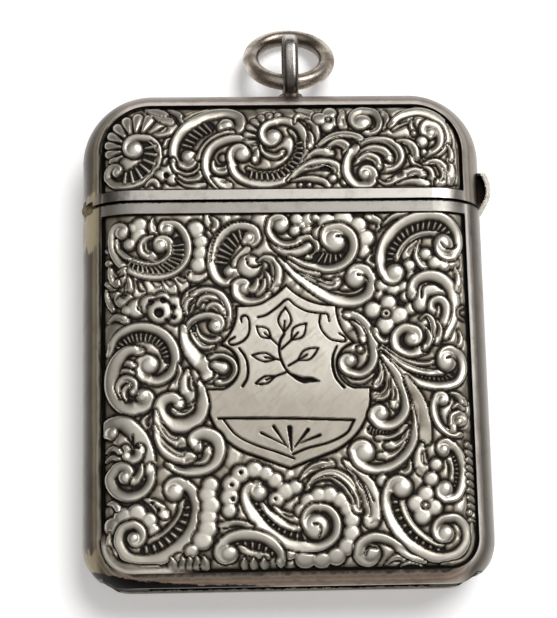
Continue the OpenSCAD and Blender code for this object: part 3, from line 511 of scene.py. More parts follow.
def ball(field, *rounds, top=0.85):
    """Round lobes raised together: those that touch run into one another, with a dent between."""
    x, y, r = np.array(rounds).T
    r = FULL_LOBE * r
    edge = r + LINE
    span, px, py = field.window(((x - edge).min(), (y - edge).min()), ((x + edge).max(), (y + edge).max()))
    if px.size == 0:
        return
    far = np.hypot(px[..., None] - x, py[..., None] - y)
    dome = np.clip(1 - (far / r) ** 4, 0, 1).max(-1) ** 0.5
    settle(field, span, (far - r).min(-1), FOOT + (top - FOOT) * dome, LOBE_LINE)


def leaf(field, width, *points, top=0.8, ribs=0):
    """A leaf lobe: pointed at its root, fullest past its middle, round at its tip."""
    raised(field, through(*points), np.array([0.2, 0.6, 0.95, 1, 0.85]) * width * FULL_LEAF, top, ribs=ribs,
           crest=0.35, drawn=0.5)


def ladder(field, outer, inner, count, top=0.6):
    """Rungs in a black channel between two stems."""
    a, b = through(*outer), through(*inner)
    b = b[np.linspace(0, len(b) - 1, len(a)).astype(int)]
    middle, half = (a + b) / 2, np.hypot(*(a - b).T) / 2
    span, px, py = field.window(middle.min(0) - half.max(), middle.max(0) + half.max())
    if px.size == 0:
        return
    gap = (px[..., None] - middle[:, 0]) ** 2 + (py[..., None] - middle[:, 1]) ** 2
    near = gap.argmin(-1)
    channel = np.sqrt(gap.min(-1)) < half[near]
    field.h[span] = np.where(channel, RUNG_BED, field.h[span])
    field.bare[span] &= ~channel
    wide = 0.33 * np.hypot(*np.diff(middle, axis=0).T).sum() / count
    for t in np.linspace(0.04, 0.96, count):
        k = int(t * (len(a) - 1))
        raised(field, through(a[k], b[k]), (wide, 0.7 * wide), top, line=THIN_LINE)


def pits(field, *holes):
    """Round holes punched into what is there."""
    for x, y, r in holes:
        span, px, py = field.window((x - r - 0.1, y - r - 0.1), (x + r + 0.1, y + r + 0.1))
        far = np.hypot(px - x, py - y) / r
        field.h[span] = np.where(far < 1, field.h[span] * np.clip(far ** 4 - 0.1, 0, 1), field.h[span])


def cut(field, width, *points):
    """A black line cut into what is there, of one width or of several along it."""
    path = through(*points)
    wide = np.max(width)
    span, px, py = field.window(path.min(0) - wide, path.max(0) + wide)
    if px.size == 0:
        return
    half = widths(path, width)
    gap = (np.hypot(px[..., None] - path[:, 0], py[..., None] - path[:, 1]) / half).min(-1)
    field.h[span] *= 1 - np.clip(1 - gap ** 2, 0, 1)


def fan(field, x, y, near, far, first, last, count, top=0.75):
    """Petals side by side round a centre, from one bearing to another: they touch at their broad round tips,
    and are parted by black slits below."""
    half = math.radians(abs(last - first)) / (count - 1) / 2
    for t in np.linspace(0, 1, count):
        a = math.radians(first + (last - first) * t)
        reach = (far[0] + (far[1] - far[0]) * t) / (1 + half)
        c, s = math.cos(a), math.sin(a)
        raised(field, through((x + near * c, y + near * s), (x + reach * c, y + reach * s)),
               half * np.array([0.4 * near, 0.3 * (near + reach), 0.8 * reach, reach]), top, line=THIN_LINE)


def softened(h, cells):
    """A height map blurred over so many cells."""
    for axis in (0, 1):
        for _ in range(3):
            total = np.zeros_like(h)
            for step in range(-cells, cells + 1):
                total += np.roll(h, step, axis)
            h = total / (2 * cells + 1)
    return h


def room(bare):
    """Cells from each bare cell to the nearest thing that isn't."""
    left, steps = bare.copy(), np.zeros(bare.shape)
    left[0] = left[-1] = left[:, 0] = left[:, -1] = False
    turn = 0
    while left.any() and turn < 14:
        steps += left
        grown = left.copy()
        grown[1:] &= left[:-1]
        grown[:-1] &= left[1:]
        grown[:, 1:] &= left[:, :-1]
        grown[:, :-1] &= left[:, 1:]
        if turn % 2:
            grown[1:, 1:] &= left[:-1, :-1]
            grown[:-1, :-1] &= left[1:, 1:]
            grown[1:, :-1] &= left[:-1, 1:]
            grown[:-1, 1:] &= left[1:, :-1]
        left = grown
        turn += 1
    return steps


def fill_bare(field, least=0.34, most=300):
    """Leaf flesh between the scrolls: what they leave bare is parted into lobes, the roomiest first, by
    thin lines."""
    x, y = field.grid()
    open_ground, nearest, lobe = field.bare.copy(), np.full(x.shape, 9.0), np.zeros(x.shape, int)
    for count in range(1, most):
        steps = room(open_ground)
        i, j = np.unravel_index(steps.argmax(), steps.shape)
        reach = steps[i, j] * field.pitch
        if reach < least:
            break
        far = np.hypot(x - x[i, j], y - y[i, j])
        open_ground &= far > np.clip(1.5 * reach, 0.7, 1.05)
        closer = far < nearest
        nearest[closer], lobe[closer] = far[closer], count
    parted = field.bare.copy()
    parted[1:] &= lobe[1:] == lobe[:-1]
    parted[:, 1:] &= lobe[:, 1:] == lobe[:, :-1]
    depth = np.clip(1 - softened(room(parted), 1) * field.pitch / 0.42, 0, 1)
    top = 0.5 + 0.09 * (lobe % 4)
    flesh = 0.1 + (top - 0.1) * np.sqrt(1 - depth ** 2.2)
    field.h = np.where(field.bare, flesh, field.h)


def chase_body(f):
    """Every scroll of the body's field, from the underlying to the overlying."""
    # top left scroll: two rails with rungs between, from the left volute to the ball and the curl
    ball(f, (-14.5, 10.5, 0.75), (-14.6, 9.3, 0.8), (-15.6, 8.5, 0.6), (-15.3, 10.2, 0.5))
    leaf(f, 0.4, (-13.2, 11.2), (-13.3, 10.4), (-12.9, 9.4))
    leaf(f, 0.55, (-9.9, 4.9), (-8.9, 5.2), (-8.3, 5.4))
    ball(f, (-8.7, 6.3, 0.8), (-8.5, 7.5, 0.72), (-8.45, 8.7, 0.72), (-8.95, 10.0, 0.86))
    leaf(f, 0.5, (-8, 11.6), (-7.6, 11), (-7.2, 10.4))
    ball(f, (-17.8, 6.7, 0.36), (-17.9, 8, 0.28))
    leaf(f, 0.62, (-11.2, 5.2), (-10.8, 4.6), (-10.3, 4.2))
    leaf(f, 0.75, (-12.4, 5), (-12.1, 4.3), (-11.6, 3.7))
    leaf(f, 0.8, (-13.7, 5), (-13.5, 4.3), (-13.1, 3.6))
    leaf(f, 0.7, (-15.3, 5.3), (-15, 4), (-14.6, 3))
    leaf(f, 0.4, (-16.1, 5.6), (-15.7, 4.6), (-15.7, 3.6))
    rail(f, (0.2, 0.28, 0.32, 0.3, 0.26), (-17.5, 9.6), (-17.45, 8.2), (-16.7, 6.7), (-15.2, 5.7),
         (-13.3, 5.25), (-11.5, 5.5), (-10.2, 6.5), (-9.75, 7.9), (-10, 9.4), (-10.9, 10.5), (-12.1, 10.6),
         start=(-16.4, 9.75, 0.72, -190), end=(-11.75, 9.95, 0.62, 120))
    rail(f, (0.12, 0.2, 0.24, 0.28, 0.26), (-17, 9), (-16.7, 7.9), (-15.6, 7), (-14, 6.5), (-12.6, 6.6),
         (-11.6, 7.4), (-11.5, 8.6), end=(-12.5, 8.35, 0.72, 150))
    leaf(f, 0.46, (-13.2, 9.4), (-14.1, 8.8), (-14.2, 7.8), (-13.3, 7.2))
    ladder(f, [(-16, 6.5), (-14.6, 5.8), (-12.9, 5.6), (-11.3, 5.9), (-10.3, 7.2), (-10.2, 8.8)],
           [(-15.6, 6.8), (-14.4, 6.3), (-12.9, 6.2), (-11.6, 6.9), (-11.2, 7.7), (-11.2, 8.6)], 15)
    # curled leaf and lumps below it
    leaf(f, 0.7, (-16.1, 6), (-16.6, 5.3), (-17.4, 4.6))
    leaf(f, 0.42, (-17.7, 6.3), (-17.5, 5.4), (-17, 4.6))
    cut(f, 0.14, (-16.2, 5.3), (-16.8, 5.2), (-17.2, 4.9))
    leaf(f, 0.24, (-18.1, 4.1), (-17.9, 2.9), (-17.4, 1.9))
    leaf(f, 0.7, (-16.9, 3.6), (-16.6, 3), (-15.9, 2.7))
    cut(f, 0.12, (-17, 2.8), (-16.6, 3.3), (-16, 3.3))
    ball(f, (-15.9, 1.7, 0.5), (-14.9, 1.9, 0.9))
    # pierced boss
    ball(f, (-13.6, 2.3, 0.95), (-11.2, 2.2, 0.95), (-11.1, 1.1, 0.8), (-12.3, 2.8, 0.75), top=0.78)
    ball(f, (-12.6, 1.6, 1.15), top=0.82)
    pits(f, (-13.45, 2.55, 0.3), (-12.25, 2.75, 0.28), (-12.65, 1.45, 0.5), (-11.25, 2, 0.3),
         (-14.6, 1.9, 0.26), (-11.2, 1, 0.24), (-11.9, 0.7, 0.18))
    leaf(f, 0.34, (-17.9, 0.6), (-17, 1.1), (-15.9, 0.7))
    # ladder scroll with a toothed edge
    leaf(f, 0.36, (-7.4, 11.3), (-6.9, 10.7), (-7, 9.9))
    rail(f, (0.24, 0.36, 0.38, 0.34, 0.26), (-5.3, 4.55), (-6.4, 4.6), (-7.15, 5.5), (-7.3, 7.1),
         (-6.8, 8.7), (-5.7, 9.9), (-4.3, 10.35), (-3.1, 9.9), (-2.75, 9), start=(-5.6, 5.6, 0.6, 160),
         end=(-3.7, 9.05, 0.62, -170))
    rail(f, 0.24, (-5.1, 6.4), (-4.6, 7.1), (-3.8, 7.9), top=0.75)
    ladder(f, [(-6.9, 6.5), (-6.5, 8), (-5.3, 9.4), (-4.4, 9.8)],
           [(-5.9, 6.4), (-5.5, 7.3), (-4.9, 8.3), (-4.3, 9.1)], 7)
    edge = through((-7.6, 6), (-7.2, 8.6), (-6, 10.2), (-4.4, 10.8), (-3, 10.5))
    for t in np.linspace(0.1, 0.95, 18):
        pits(f, (*edge[int(t * (len(edge) - 1))], 0.14))
    # acanthus left of the shield's point
    ball(f, (-3.6, 6.1, 1.1))
    cut(f, 0.12, (-3.9, 6.9), (-3.7, 6.2), (-3, 6), (-2.5, 6.3))
    leaf(f, 0.56, (-2.7, 6.7), (-1.9, 7), (-1.1, 6.4), (-0.9, 5.2), (-1.3, 3.9))
    cut(f, 0.11, (-2.6, 6.3), (-1.9, 6.3), (-1.7, 5.6))
    leaf(f, 0.34, (-2, 5.6), (-1.8, 4.9), (-1.9, 4.2))
    rail(f, (0.2, 0.32, 0.34, 0.25), (-1.7, 3.2), (-2.7, 2.65), (-4, 2.6), (-4.9, 3.2), (-5, 4.2),
         end=(-4.1, 3.85, 0.66, -120))
    leaf(f, 0.36, (-2.1, 4.8), (-2.3, 4), (-2.8, 3.4))
    leaf(f, 0.34, (-2.8, 4.9), (-3, 4.2), (-3.3, 3.7))
    # top middle: curl, boat and trefoils
    ball(f, (1.2, 11, 0.6), (2.4, 10.95, 0.64), (1, 9.75, 0.55), (2.3, 9.7, 0.58), (1.7, 10.35, 0.34))
    raised(f, through((-1.5, 9), (-0.8, 8), (0.4, 7.5), (1.7, 7.7), (2.4, 8.2)),
           (0.25, 0.42, 0.55, 0.55, 0.55), 0.85)
    rail(f, (0.2, 0.28, 0.26), (2.2, 6.9), (3, 7.3), (3.2, 8.2), (2.6, 9), (1.8, 8.9), (1, 8.5), (0, 8.35),
         (-0.9, 8.75), (-1.55, 9.7), (-1.4, 10.8), end=(-0.35, 10.35, 0.78, -150))
    pits(f, (-0.85, 8.15, 0.15), (-0.45, 7.95, 0.15), (0.05, 7.9, 0.15), (0.55, 7.95, 0.15),
         (1.05, 8.1, 0.15), (1.45, 8.35, 0.15))
    # big boss with its ring of petals
    ball(f, (3.4, 9.5, 0.62), (4.2, 10.7, 0.85), (5.9, 11, 0.95), (7.4, 10.3, 0.85), (8.1, 8.9, 0.88),
         (7.9, 7.5, 0.66), (3.1, 11.1, 0.4))
    leaf(f, 0.3, (8.6, 7.2), (8.3, 6.4), (9, 6))
    ladder(f, [(3, 6.3), (4.5, 6), (5.9, 6.6)], [(3.8, 7.4), (4.7, 7.3), (5.5, 7.5)], 5)
    rail(f, (0.12, 0.3, 0.36, 0.36, 0.32), (0.4, 7), (2.2, 6.2), (4.2, 5.75), (5.9, 6.3), (6.85, 7.7),
         (6.7, 9.2), (5.6, 10.05), (4.3, 9.9), end=(5, 8.65, 1.12, 110))
    cut(f, 0.12, (5.2, 9.1), (5.9, 9.1), (6.2, 8.4))
    # stems that sweep round the shield's point
    leaf(f, 0.5, (0.2, 6.3), (1.6, 5.2), (3.2, 4.3), (4.5, 3.95), (5.1, 4.4))
    rail(f, 0.16, (0.2, 6.5), (1.7, 5.7), (3.3, 5.2), top=0.7)
    rail(f, 0.2, (4.7, 3.25), (6, 3.1), (7.2, 3.4), (7.7, 4.1), top=0.7)
    rail(f, (0.12, 0.28, 0.4, 0.42, 0.4), (-0.7, 6.9), (0.9, 5.2), (2.8, 3.7), (4.6, 2.7), (6.5, 2.35),
         (8, 2.9), (8.6, 4.2), (8.1, 5.5), end=(6.95, 4.8, 1.0, 100))
    cut(f, 0.1, (7.2, 5.1), (7.9, 5), (8.3, 4.5))
    cut(f, 0.12, (3, 4.35), (3.8, 4.6), (3.8, 5.2))
    # top right scroll
    ladder(f, [(10.1, 5.6), (10.3, 7.7), (11.4, 9.4), (12.9, 10.4), (14.6, 10.9), (16.2, 10.5), (17.3, 9.3)],
           [(10.7, 6), (11, 7.4), (12.2, 8.8), (13.4, 9.4), (14.5, 9.6), (15.8, 9.6), (16.6, 9.1)], 16)
    leaf(f, 0.34, (9.3, 9.6), (9.5, 10.6), (8.4, 11.2))
    leaf(f, 0.3, (9.8, 10.2), (11, 11.1), (12.4, 11.5))
    leaf(f, 0.4, (13.6, 8.8), (13.2, 7.6), (13.5, 6.4), (14.3, 5.6))
    leaf(f, 0.4, (13.2, 8.6), (12.5, 7.8), (12.1, 7))
    ball(f, (14.1, 7.2, 0.6), (17, 6.4, 0.66), (15, 6.3, 0.68), (16, 6.1, 0.66), (12.4, 6, 0.62),
         (12.6, 4.9, 0.5), (9.6, 4, 0.62), (11.8, 3.8, 0.6), (10.7, 3.6, 0.66), (9.3, 2.95, 0.45))
    rail(f, (0.14, 0.2, 0.2), (11.1, 6.5), (11.6, 7.7), (12.8, 8.9), (14.3, 9.35), (15.6, 9.2), top=0.75)
    rail(f, (0.3, 0.36, 0.36, 0.3), (10.1, 4.7), (9.6, 5.9), (9.8, 7.9), (11, 9.7), (12.6, 10.8),
         (14.6, 11.25), (16.3, 10.9), (17.5, 9.7), (17.7, 8.2), (17, 7), start=(11, 5.3, 0.92, 100),
         end=(16.05, 8.2, 1.05, -120))
    cut(f, 0.11, (15.7, 8.3), (16.2, 7.8), (16.9, 7.8), (17.4, 8.2))
    # flower
    ball(f, (11.9, 2.8, 0.5), (12.4, 1.6, 0.6), (10.2, 2.2, 0.78), (8.6, 1.5, 0.82), (11.2, 0.9, 0.88),
         (9.8, -0.1, 0.86))
    ball(f, (9.9, 1.1, 0.45))
    pits(f, (9.9, 1.1, 0.18))
    # right curl and its S leaf
    raised(f, through((13.4, 2), (13.5, 3.3), (14.5, 3.7), (15.4, 3.1)), (0.8, 1, 0.95, 0.7), 0.95)
    cut(f, 0.12, (13.5, 2.7), (13.7, 3.8), (14.7, 4.1), (15.6, 3.6))
    rail(f, (0.3, 0.42, 0.46, 0.4, 0.3), (12.5, 2.9), (12.9, 4.3), (14.2, 4.95), (15.7, 4.6), (16.7, 3.5),
         (16.9, 2), (16.5, 0.4), (15.8, -1.2))
    rail(f, (0.25, 0.34, 0.3), (14.5, 1.2), (14.6, 2.2), (15.4, 2.5), (16, 1.9), (15.9, 0.8), (15.3, -0.4))
    leaf(f, 0.34, (13.3, 0.5), (14, 0.9), (14.6, 0.1), (14.6, -1.2), (14, -2.1))
    leaf(f, 0.26, (15, 0.4), (15.3, -0.6), (14.9, -1.9))
    rail(f, 0.14, (17.9, 1.8), (17.4, 1.5), (17.4, 0.9), (17.9, 0.6), top=0.6)
    leaf(f, 0.3, (17.2, 5.8), (17.5, 4.8), (17.4, 3.6))
    leaf(f, 0.22, (17.3, -0.6), (17.5, -1.4), (17.3, -2.2))
    # left acanthus curls
    leaf(f, 0.95, (-9.9, 1.4), (-9.6, 2.4), (-8.9, 2.9), (-8.2, 2.8))
    cut(f, 0.07, (-10.3, 1.5), (-10.2, 2.5), (-9.5, 3.3))
    cut(f, 0.09, (-9.7, 1.4), (-9.6, 2.3), (-9, 2.9))
    rail(f, (0.16, 0.36, 0.44, 0.42, 0.32), (-9.4, 3.3), (-8, 3.6), (-6.6, 3), (-5.95, 1.6), (-6, 0.2))
    leaf(f, 0.42, (-8.9, 2.1), (-8.4, 2.8), (-7.5, 2.8), (-6.8, 2.2))
    leaf(f, 0.42, (-8, 1.5), (-7.6, 2.1), (-6.9, 2), (-6.4, 1.3))
    rail(f, (0.16, 0.26, 0.28, 0.26), (-10.3, -0.6), (-9.4, 0.6), (-8, 1.1), (-6.8, 0.9),
         end=(-7.15, 0.1, 0.62, -160))
    leaf(f, 0.26, (-9.6, -0.2), (-9.2, -1.3), (-8.4, -2), (-7.4, -2))
    leaf(f, 0.26, (-9, 0.2), (-8.6, -0.9), (-7.7, -1.4), (-6.7, -1.3))
    # left big scroll
    ladder(f, [(-17.3, -2.1), (-16.2, -0.9), (-14.6, -0.3), (-13, -0.7), (-11.9, -1.8), (-11.5, -3.3)],
           [(-16.6, -2.3), (-15.8, -1.6), (-14.6, -1.3), (-13.4, -1.5), (-12.5, -2.3), (-12.2, -3.3)], 15)
    rail(f, (0.2, 0.32, 0.36, 0.36, 0.3), (-17.9, -2.6), (-16.9, -0.9), (-15, 0), (-13, -0.25),
         (-11.6, -1.4), (-11.05, -3.1), (-11.5, -4.6), (-12.8, -5.4), (-14.2, -5.1),
         end=(-13.65, -3.75, 0.92, -170))
    leaf(f, 0.3, (-17, -4.3), (-16.2, -3.6), (-15.2, -3.8))
    leaf(f, 0.26, (-17.1, -5), (-16.3, -4.4), (-15.3, -4.6))
    rail(f, (0.3, 0.5, 0.52, 0.48, 0.36), (-14.5, -2.4), (-15.9, -2.4), (-17.1, -3.6), (-17.6, -5.3),
         (-17.2, -7), (-16, -8.1), (-14.7, -8.1), end=(-14.3, -6.85, 0.7, 130))
    leaf(f, 0.4, (-16.6, -7), (-16.8, -5.9), (-16.1, -5.2), (-15.2, -5.6), (-15.2, -6.5))
    leaf(f, 0.26, (-16, -7.4), (-16.2, -6.5), (-15.8, -5.9))
    # acanthus left of the shield
    leaf(f, 0.36, (-10.7, -3.8), (-10.7, -5.1), (-11.4, -6.3))
    leaf(f, 0.58, (-9.9, -4.3), (-10, -5.8), (-9.8, -7))
    rail(f, (0.2, 0.42, 0.55, 0.6), (-10.3, 0), (-10, -1.6), (-9.2, -3), (-8.2, -4), (-7.7, -4.8))
    rail(f, 0.2, (-7.6, -3.1), (-6.4, -3), (-5.4, -3.6), (-5.2, -4.6), (-5.9, -5.5), (-7, -5.7))
    raised(f, through((-7.2, -3.9), (-6.4, -4.2)), (0.5, 0.68), 0.9)
    cut(f, 0.1, (-8.3, -5.7), (-7.4, -5.2), (-7.3, -4.5), (-7.7, -4.2))
    # lower left: curls below one another
    leaf(f, 0.44, (-9, -8.1), (-10.2, -8.7), (-11.2, -8.4))
    rail(f, (0.16, 0.45, 0.55, 0.52, 0.46, 0.4), (-8.7, -5.6), (-8.4, -7.2), (-8.7, -8.9), (-10, -9.8),
         (-11.6, -9.7), (-12.6, -8.7), (-12.4, -7.5), (-11.4, -7.1), (-10.7, -7.7))
    leaf(f, 0.5, (-13.1, -8.4), (-12.7, -10), (-11.8, -11.2), (-10.4, -11.6))
    leaf(f, 0.55, (-13.2, -9.9), (-12.5, -11.8), (-11.2, -12.9), (-9.7, -13.1))
    rail(f, (0.36, 0.5, 0.5, 0.46, 0.3, 0.16), (-9, -12.1), (-9.4, -11.2), (-8.4, -10.7), (-7.2, -11.2),
         (-6.9, -12.4), (-7.4, -13.6), (-8.8, -14.3), (-10.6, -14.4), (-12, -13.7))
    leaf(f, 0.36, (-9.3, -13.7), (-8.3, -13.3), (-7.9, -12.3))
    leaf(f, 0.3, (-13.7, -8.8), (-14.2, -9.4), (-14.2, -10.2))
    rail(f, (0.22, 0.42, 0.6, 0.58, 0.5, 0.4), (-17.4, -9.5), (-16.3, -9.6), (-15.2, -10.4), (-14.3, -11.8),
         (-13.8, -13.4), (-13.7, -15), start=(-17.6, -10.5, 0.66, 150))
    rail(f, 0.36, (-16.1, -12.2), (-15.8, -13.1), (-14.9, -13), (-14.6, -12.2))
    cut(f, 0.16, (-15.3, -10.8), (-15.3, -11.8), (-14.7, -12))
    leaf(f, 0.24, (-18.2, -12.5), (-17.4, -12), (-16.6, -12.4))
    leaf(f, 0.24, (-18.2, -13.4), (-17.4, -12.9), (-16.6, -13.3))
    rail(f, (0.3, 0.36, 0.4, 0.36), (-13.6, -14), (-13.6, -15.4), (-14.5, -16.5), (-15.9, -16.8),
         (-17.2, -16.2), (-17.7, -15), (-17, -14), end=(-16.2, -14.9, 0.62, -160))
    leaf(f, 0.36, (-14.4, -13.6), (-14.6, -14.6), (-15.2, -15.4))
    # bottom left scroll
    ball(f, (-17.5, -19.6, 0.8), (-16.4, -18.7, 0.86), (-14.95, -18.4, 0.86), (-13.75, -19.1, 0.75),
         (-13.3, -20.1, 0.6))
    leaf(f, 0.46, (-14.2, -17.1), (-13.2, -17.6), (-12.2, -18.6))
    pits(f, (-13.4, -17.45, 0.18), (-12.8, -18.1, 0.18))
    ladder(f, [(-9.6, -17.6), (-9.8, -19.4), (-11, -21.2), (-12.6, -22.3), (-14.2, -22.6)],
           [(-10.4, -17.8), (-11.2, -19.2), (-12.3, -20.6), (-13.5, -21.4), (-14.3, -21.8)], 9)
    rail(f, 0.18, (-10.5, -17.3), (-11, -18.8), (-12.2, -20.2), (-13.8, -21.2), top=0.65)
    rail(f, (0.26, 0.42, 0.46, 0.46, 0.4, 0.34, 0.3), (-10.8, -15.4), (-9.6, -16.3), (-9.05, -17.9),
         (-9.4, -19.8), (-10.6, -21.5), (-12.4, -22.7), (-14.3, -23.1), (-16, -22.6), (-16.8, -21.2),
         (-16.4, -19.9), (-15.3, -19.5), start=(-11.3, -16.4, 0.9, 150), end=(-15.3, -20.85, 0.62, -190))
    ball(f, (-10.9, -22.9, 0.5), (-9.7, -22.2, 0.66), (-8.6, -21.1, 0.95), (-8.1, -20, 0.9),
         (-8.05, -18.9, 0.86), (-7.8, -17.8, 0.9), (-8.1, -16.7, 0.84), (-7.8, -15.8, 0.8))
    for x in (-11.6, -10.6, -9.9, -9.2, -8.5):
        leaf(f, 0.38, (x, -22.8), (x + 0.1, -23.4), (x + 0.1, -23.9))
    leaf(f, 0.3, (-17.7, -20.2), (-17.8, -21.4), (-17.2, -22.5))
    rail(f, 0.2, (-18, -21.8), (-17.1, -23.1), (-15.2, -23.7), (-13, -23.8), top=0.65)
    leaf(f, 0.3, (-18, -17.5), (-17.4, -17.4), (-16.9, -17.9))
    # bottom middle: pierced frill, ladder scroll and the great ball
    ball(f, (-6, -18.3, 0.7), (-5.95, -17, 0.86), (-5.75, -15.75, 0.86), (-4.85, -14.75, 0.84),
         (-3.5, -14.35, 0.8), (-2.4, -14.7, 0.7), (-1.5, -15.4, 0.76), (0.5, -16.1, 0.7),
         (-0.5, -16.5, 0.82), (-1.4, -17.3, 0.76), top=0.82)
    pits(f, (-4.8, -14.6, 0.17), (-5.7, -15.8, 0.17), (-5.6, -17.2, 0.24), (-1.5, -17.25, 0.14))
    leaf(f, 0.46, (-1.7, -18), (-0.7, -18.9), (0.5, -19.4))
    ladder(f, [(-3.9, -17.4), (-3, -19.2), (-1.4, -20.8), (0.5, -21.3), (1.6, -21.1)],
           [(-3, -17.6), (-2, -19), (-0.6, -20.1), (0.6, -20.5), (1.4, -20.6)], 10)
    rail(f, (0.14, 0.26, 0.28, 0.2), (-2.9, -17.7), (-1.9, -18.8), (-0.5, -19.8), (0.7, -20.2), top=0.8)
    ball(f, (0.95, -18.4, 0.62), (1.7, -17.5, 0.76), (2.7, -16.95, 0.74), (3.75, -16.9, 0.78),
         (4.8, -17.4, 0.76), (5.55, -18.3, 0.76), (5.9, -19.4, 0.76), (5.85, -20.7, 0.8), (5.4, -22, 0.86),
         (4.3, -23, 0.86), (2.9, -23.4, 0.8), (1.3, -23.2, 0.95), (-0.2, -22.6, 0.6), top=0.85)
    rail(f, (0.24, 0.36, 0.4, 0.36, 0.3, 0.28), (-3.2, -15.7), (-4.2, -16.2), (-4.35, -17.3), (-3.7, -18.7),
         (-2.4, -20.3), (-0.8, -21.4), (1, -21.9), (2.8, -21.9), (4.2, -20.9), (4.4, -19.4), (3.6, -18.3),
         (2.2, -18.1), start=(-3.1, -16.6, 0.8, 110), end=(2.4, -20, 1.2, 110))
    cut(f, 0.1, (2.1, -19.7), (2.7, -19.8), (2.9, -20.4), (2.7, -21))
    # acanthus above the great ball
    leaf(f, 0.42, (0.9, -15.4), (2.2, -14.3), (4, -13.9), ribs=2)
    leaf(f, 0.6, (1.5, -16.4), (2.4, -15.3), (4, -14.9), (5.4, -15.7), (6.3, -17), (6.6, -18.2), ribs=3)
    leaf(f, 0.76, (5.3, -13.6), (6.6, -14.9), (7.7, -16.8), (8, -18.5), (7.8, -19.5))
    cut(f, 0.15, (6.6, -15.4), (7.2, -16.4), (7.6, -17.7))
    cut(f, 0.1, (6.1, -14.6), (7.2, -15.9), (8.1, -17.6))
    # bottom left curl of the middle
    rail(f, 0.22, (-6.8, -19.7), (-5.2, -19.5), (-3.9, -19.9), top=0.65)
    ladder(f, [(-5.6, -21.3), (-4.2, -21.1), (-2.7, -21.6), (-1.7, -22.6)],
           [(-5, -21.8), (-4, -22.1), (-2.8, -22.5), (-2, -23)], 6)
    rail(f, 0.22, (-5, -22), (-3.9, -22.5), (-2.4, -22.9), top=0.7)
    rail(f, (0.3, 0.36, 0.38, 0.34), (-1, -23.6), (-1.2, -22.3), (-2.5, -21.1), (-4.2, -20.65),
         (-5.9, -20.9), (-7, -21.9), end=(-6.1, -22.6, 0.9, 120))
    for x in (-4.6, -3.7, -2.7):
        leaf(f, 0.34, (x, -23), (x, -23.5), (x + 0.1, -23.9))
    # right of the shield: hook and the stems that fan from it
    leaf(f, 0.26, (5.6, -5.2), (6.4, -5.7), (7.5, -5.6), (8.3, -5))
    rail(f, (0.3, 0.34, 0.32, 0.28), (6, 1.1), (7.2, 0.7), (8.2, -0.7), (8.6, -2.5), (8.3, -4.1),
         (7.2, -4.95), (6, -4.75), end=(6.15, -3.6, 0.68, -150))
    ball(f, (7.2, -2.5, 0.34))
    leaf(f, 0.3, (6.4, 0.4), (7.2, -0.4), (7.6, -1.6))
    rail(f, 0.22, (8.7, -0.6), (9.4, -1.6), (10.3, -1.6))
    rail(f, (0.3, 0.36, 0.36, 0.3), (13.6, -2.6), (12, -3), (10.9, -2.4), (10.8, -1.2), (11.7, -0.4),
         (12.8, -0.6), end=(12.4, -1.5, 0.72, -120))
    leaf(f, 0.3, (13.9, -0.4), (14.2, -1.5), (13.7, -2.5))
    rail(f, 0.16, (9.4, -2.3), (11.3, -3.5), (13.3, -4), (14.7, -3.8), top=0.75)
    ladder(f, [(12.5, -5.7), (14, -6), (15.5, -6), (16.6, -5.4)],
           [(12.8, -5.1), (14.2, -5.4), (15.5, -5.4), (16.1, -5)], 9)
    rail(f, 0.2, (9.3, -2.6), (11.2, -4), (13.2, -4.8), (15.2, -5), top=0.85)
    rail(f, (0.14, 0.26, 0.3, 0.32, 0.3), (9.3, -2.9), (11.2, -4.8), (13, -5.9), (15, -6.3), (16.8, -5.9),
         (17.6, -4.7), (17.4, -3.3), (16.4, -2.6), end=(15.85, -3.75, 1.05, 110))
    cut(f, 0.1, (15.8, -3.5), (16.3, -3.4), (16.9, -3.8))
    leaf(f, 0.36, (9.2, -3.6), (9.3, -5), (8.7, -6.2), ribs=2)
    leaf(f, 0.46, (9.5, -3.6), (10, -5), (10, -6.4), (9.3, -7.2), (8.6, -7.2), ribs=2)
    leaf(f, 0.46, (10.4, -5.2), (10.7, -6.9), (10.5, -8.1))
    rail(f, (0.14, 0.28, 0.36, 0.4, 0.36), (9.4, -3.1), (10.8, -5.2), (11.55, -7.2), (11.4, -8.9),
         (10.4, -9.95), (9.1, -10.1), (8.3, -9.3), end=(9.1, -9, 0.72, -120))
    ladder(f, [(8, -10.3), (8.8, -10.7), (9.7, -10.8)], [(7.9, -10.8), (8.7, -11.1), (9.6, -11.2)], 6)
    rail(f, 0.18, (8.6, -11.4), (10.2, -11.2), (11.5, -10.3), top=0.75)
    leaf(f, 0.36, (11.9, -10.5), (11, -11.9), (9.6, -12.2))
    leaf(f, 0.34, (11.5, -11.8), (10.4, -13), (8.8, -13.2))
    rail(f, (0.14, 0.26, 0.32, 0.36, 0.36), (11.7, -5.9), (12.3, -7.8), (12.5, -10), (11.9, -12.3),
         (10.4, -13.9), (8.4, -14.5), (6.8, -13.9), (6.2, -12.6), end=(7.35, -12.75, 1.0, -120))
    rail(f, (0.16, 0.4, 0.46, 0.4), (11.7, -5.4), (12.7, -7.4), (13.3, -9.4), (13.4, -11.6), top=0.6)
    leaf(f, 0.56, (13, -12), (12.8, -13.4), (12.9, -14.6))
    leaf(f, 0.3, (11.8, -13.6), (11.6, -14.6), (10.8, -15))
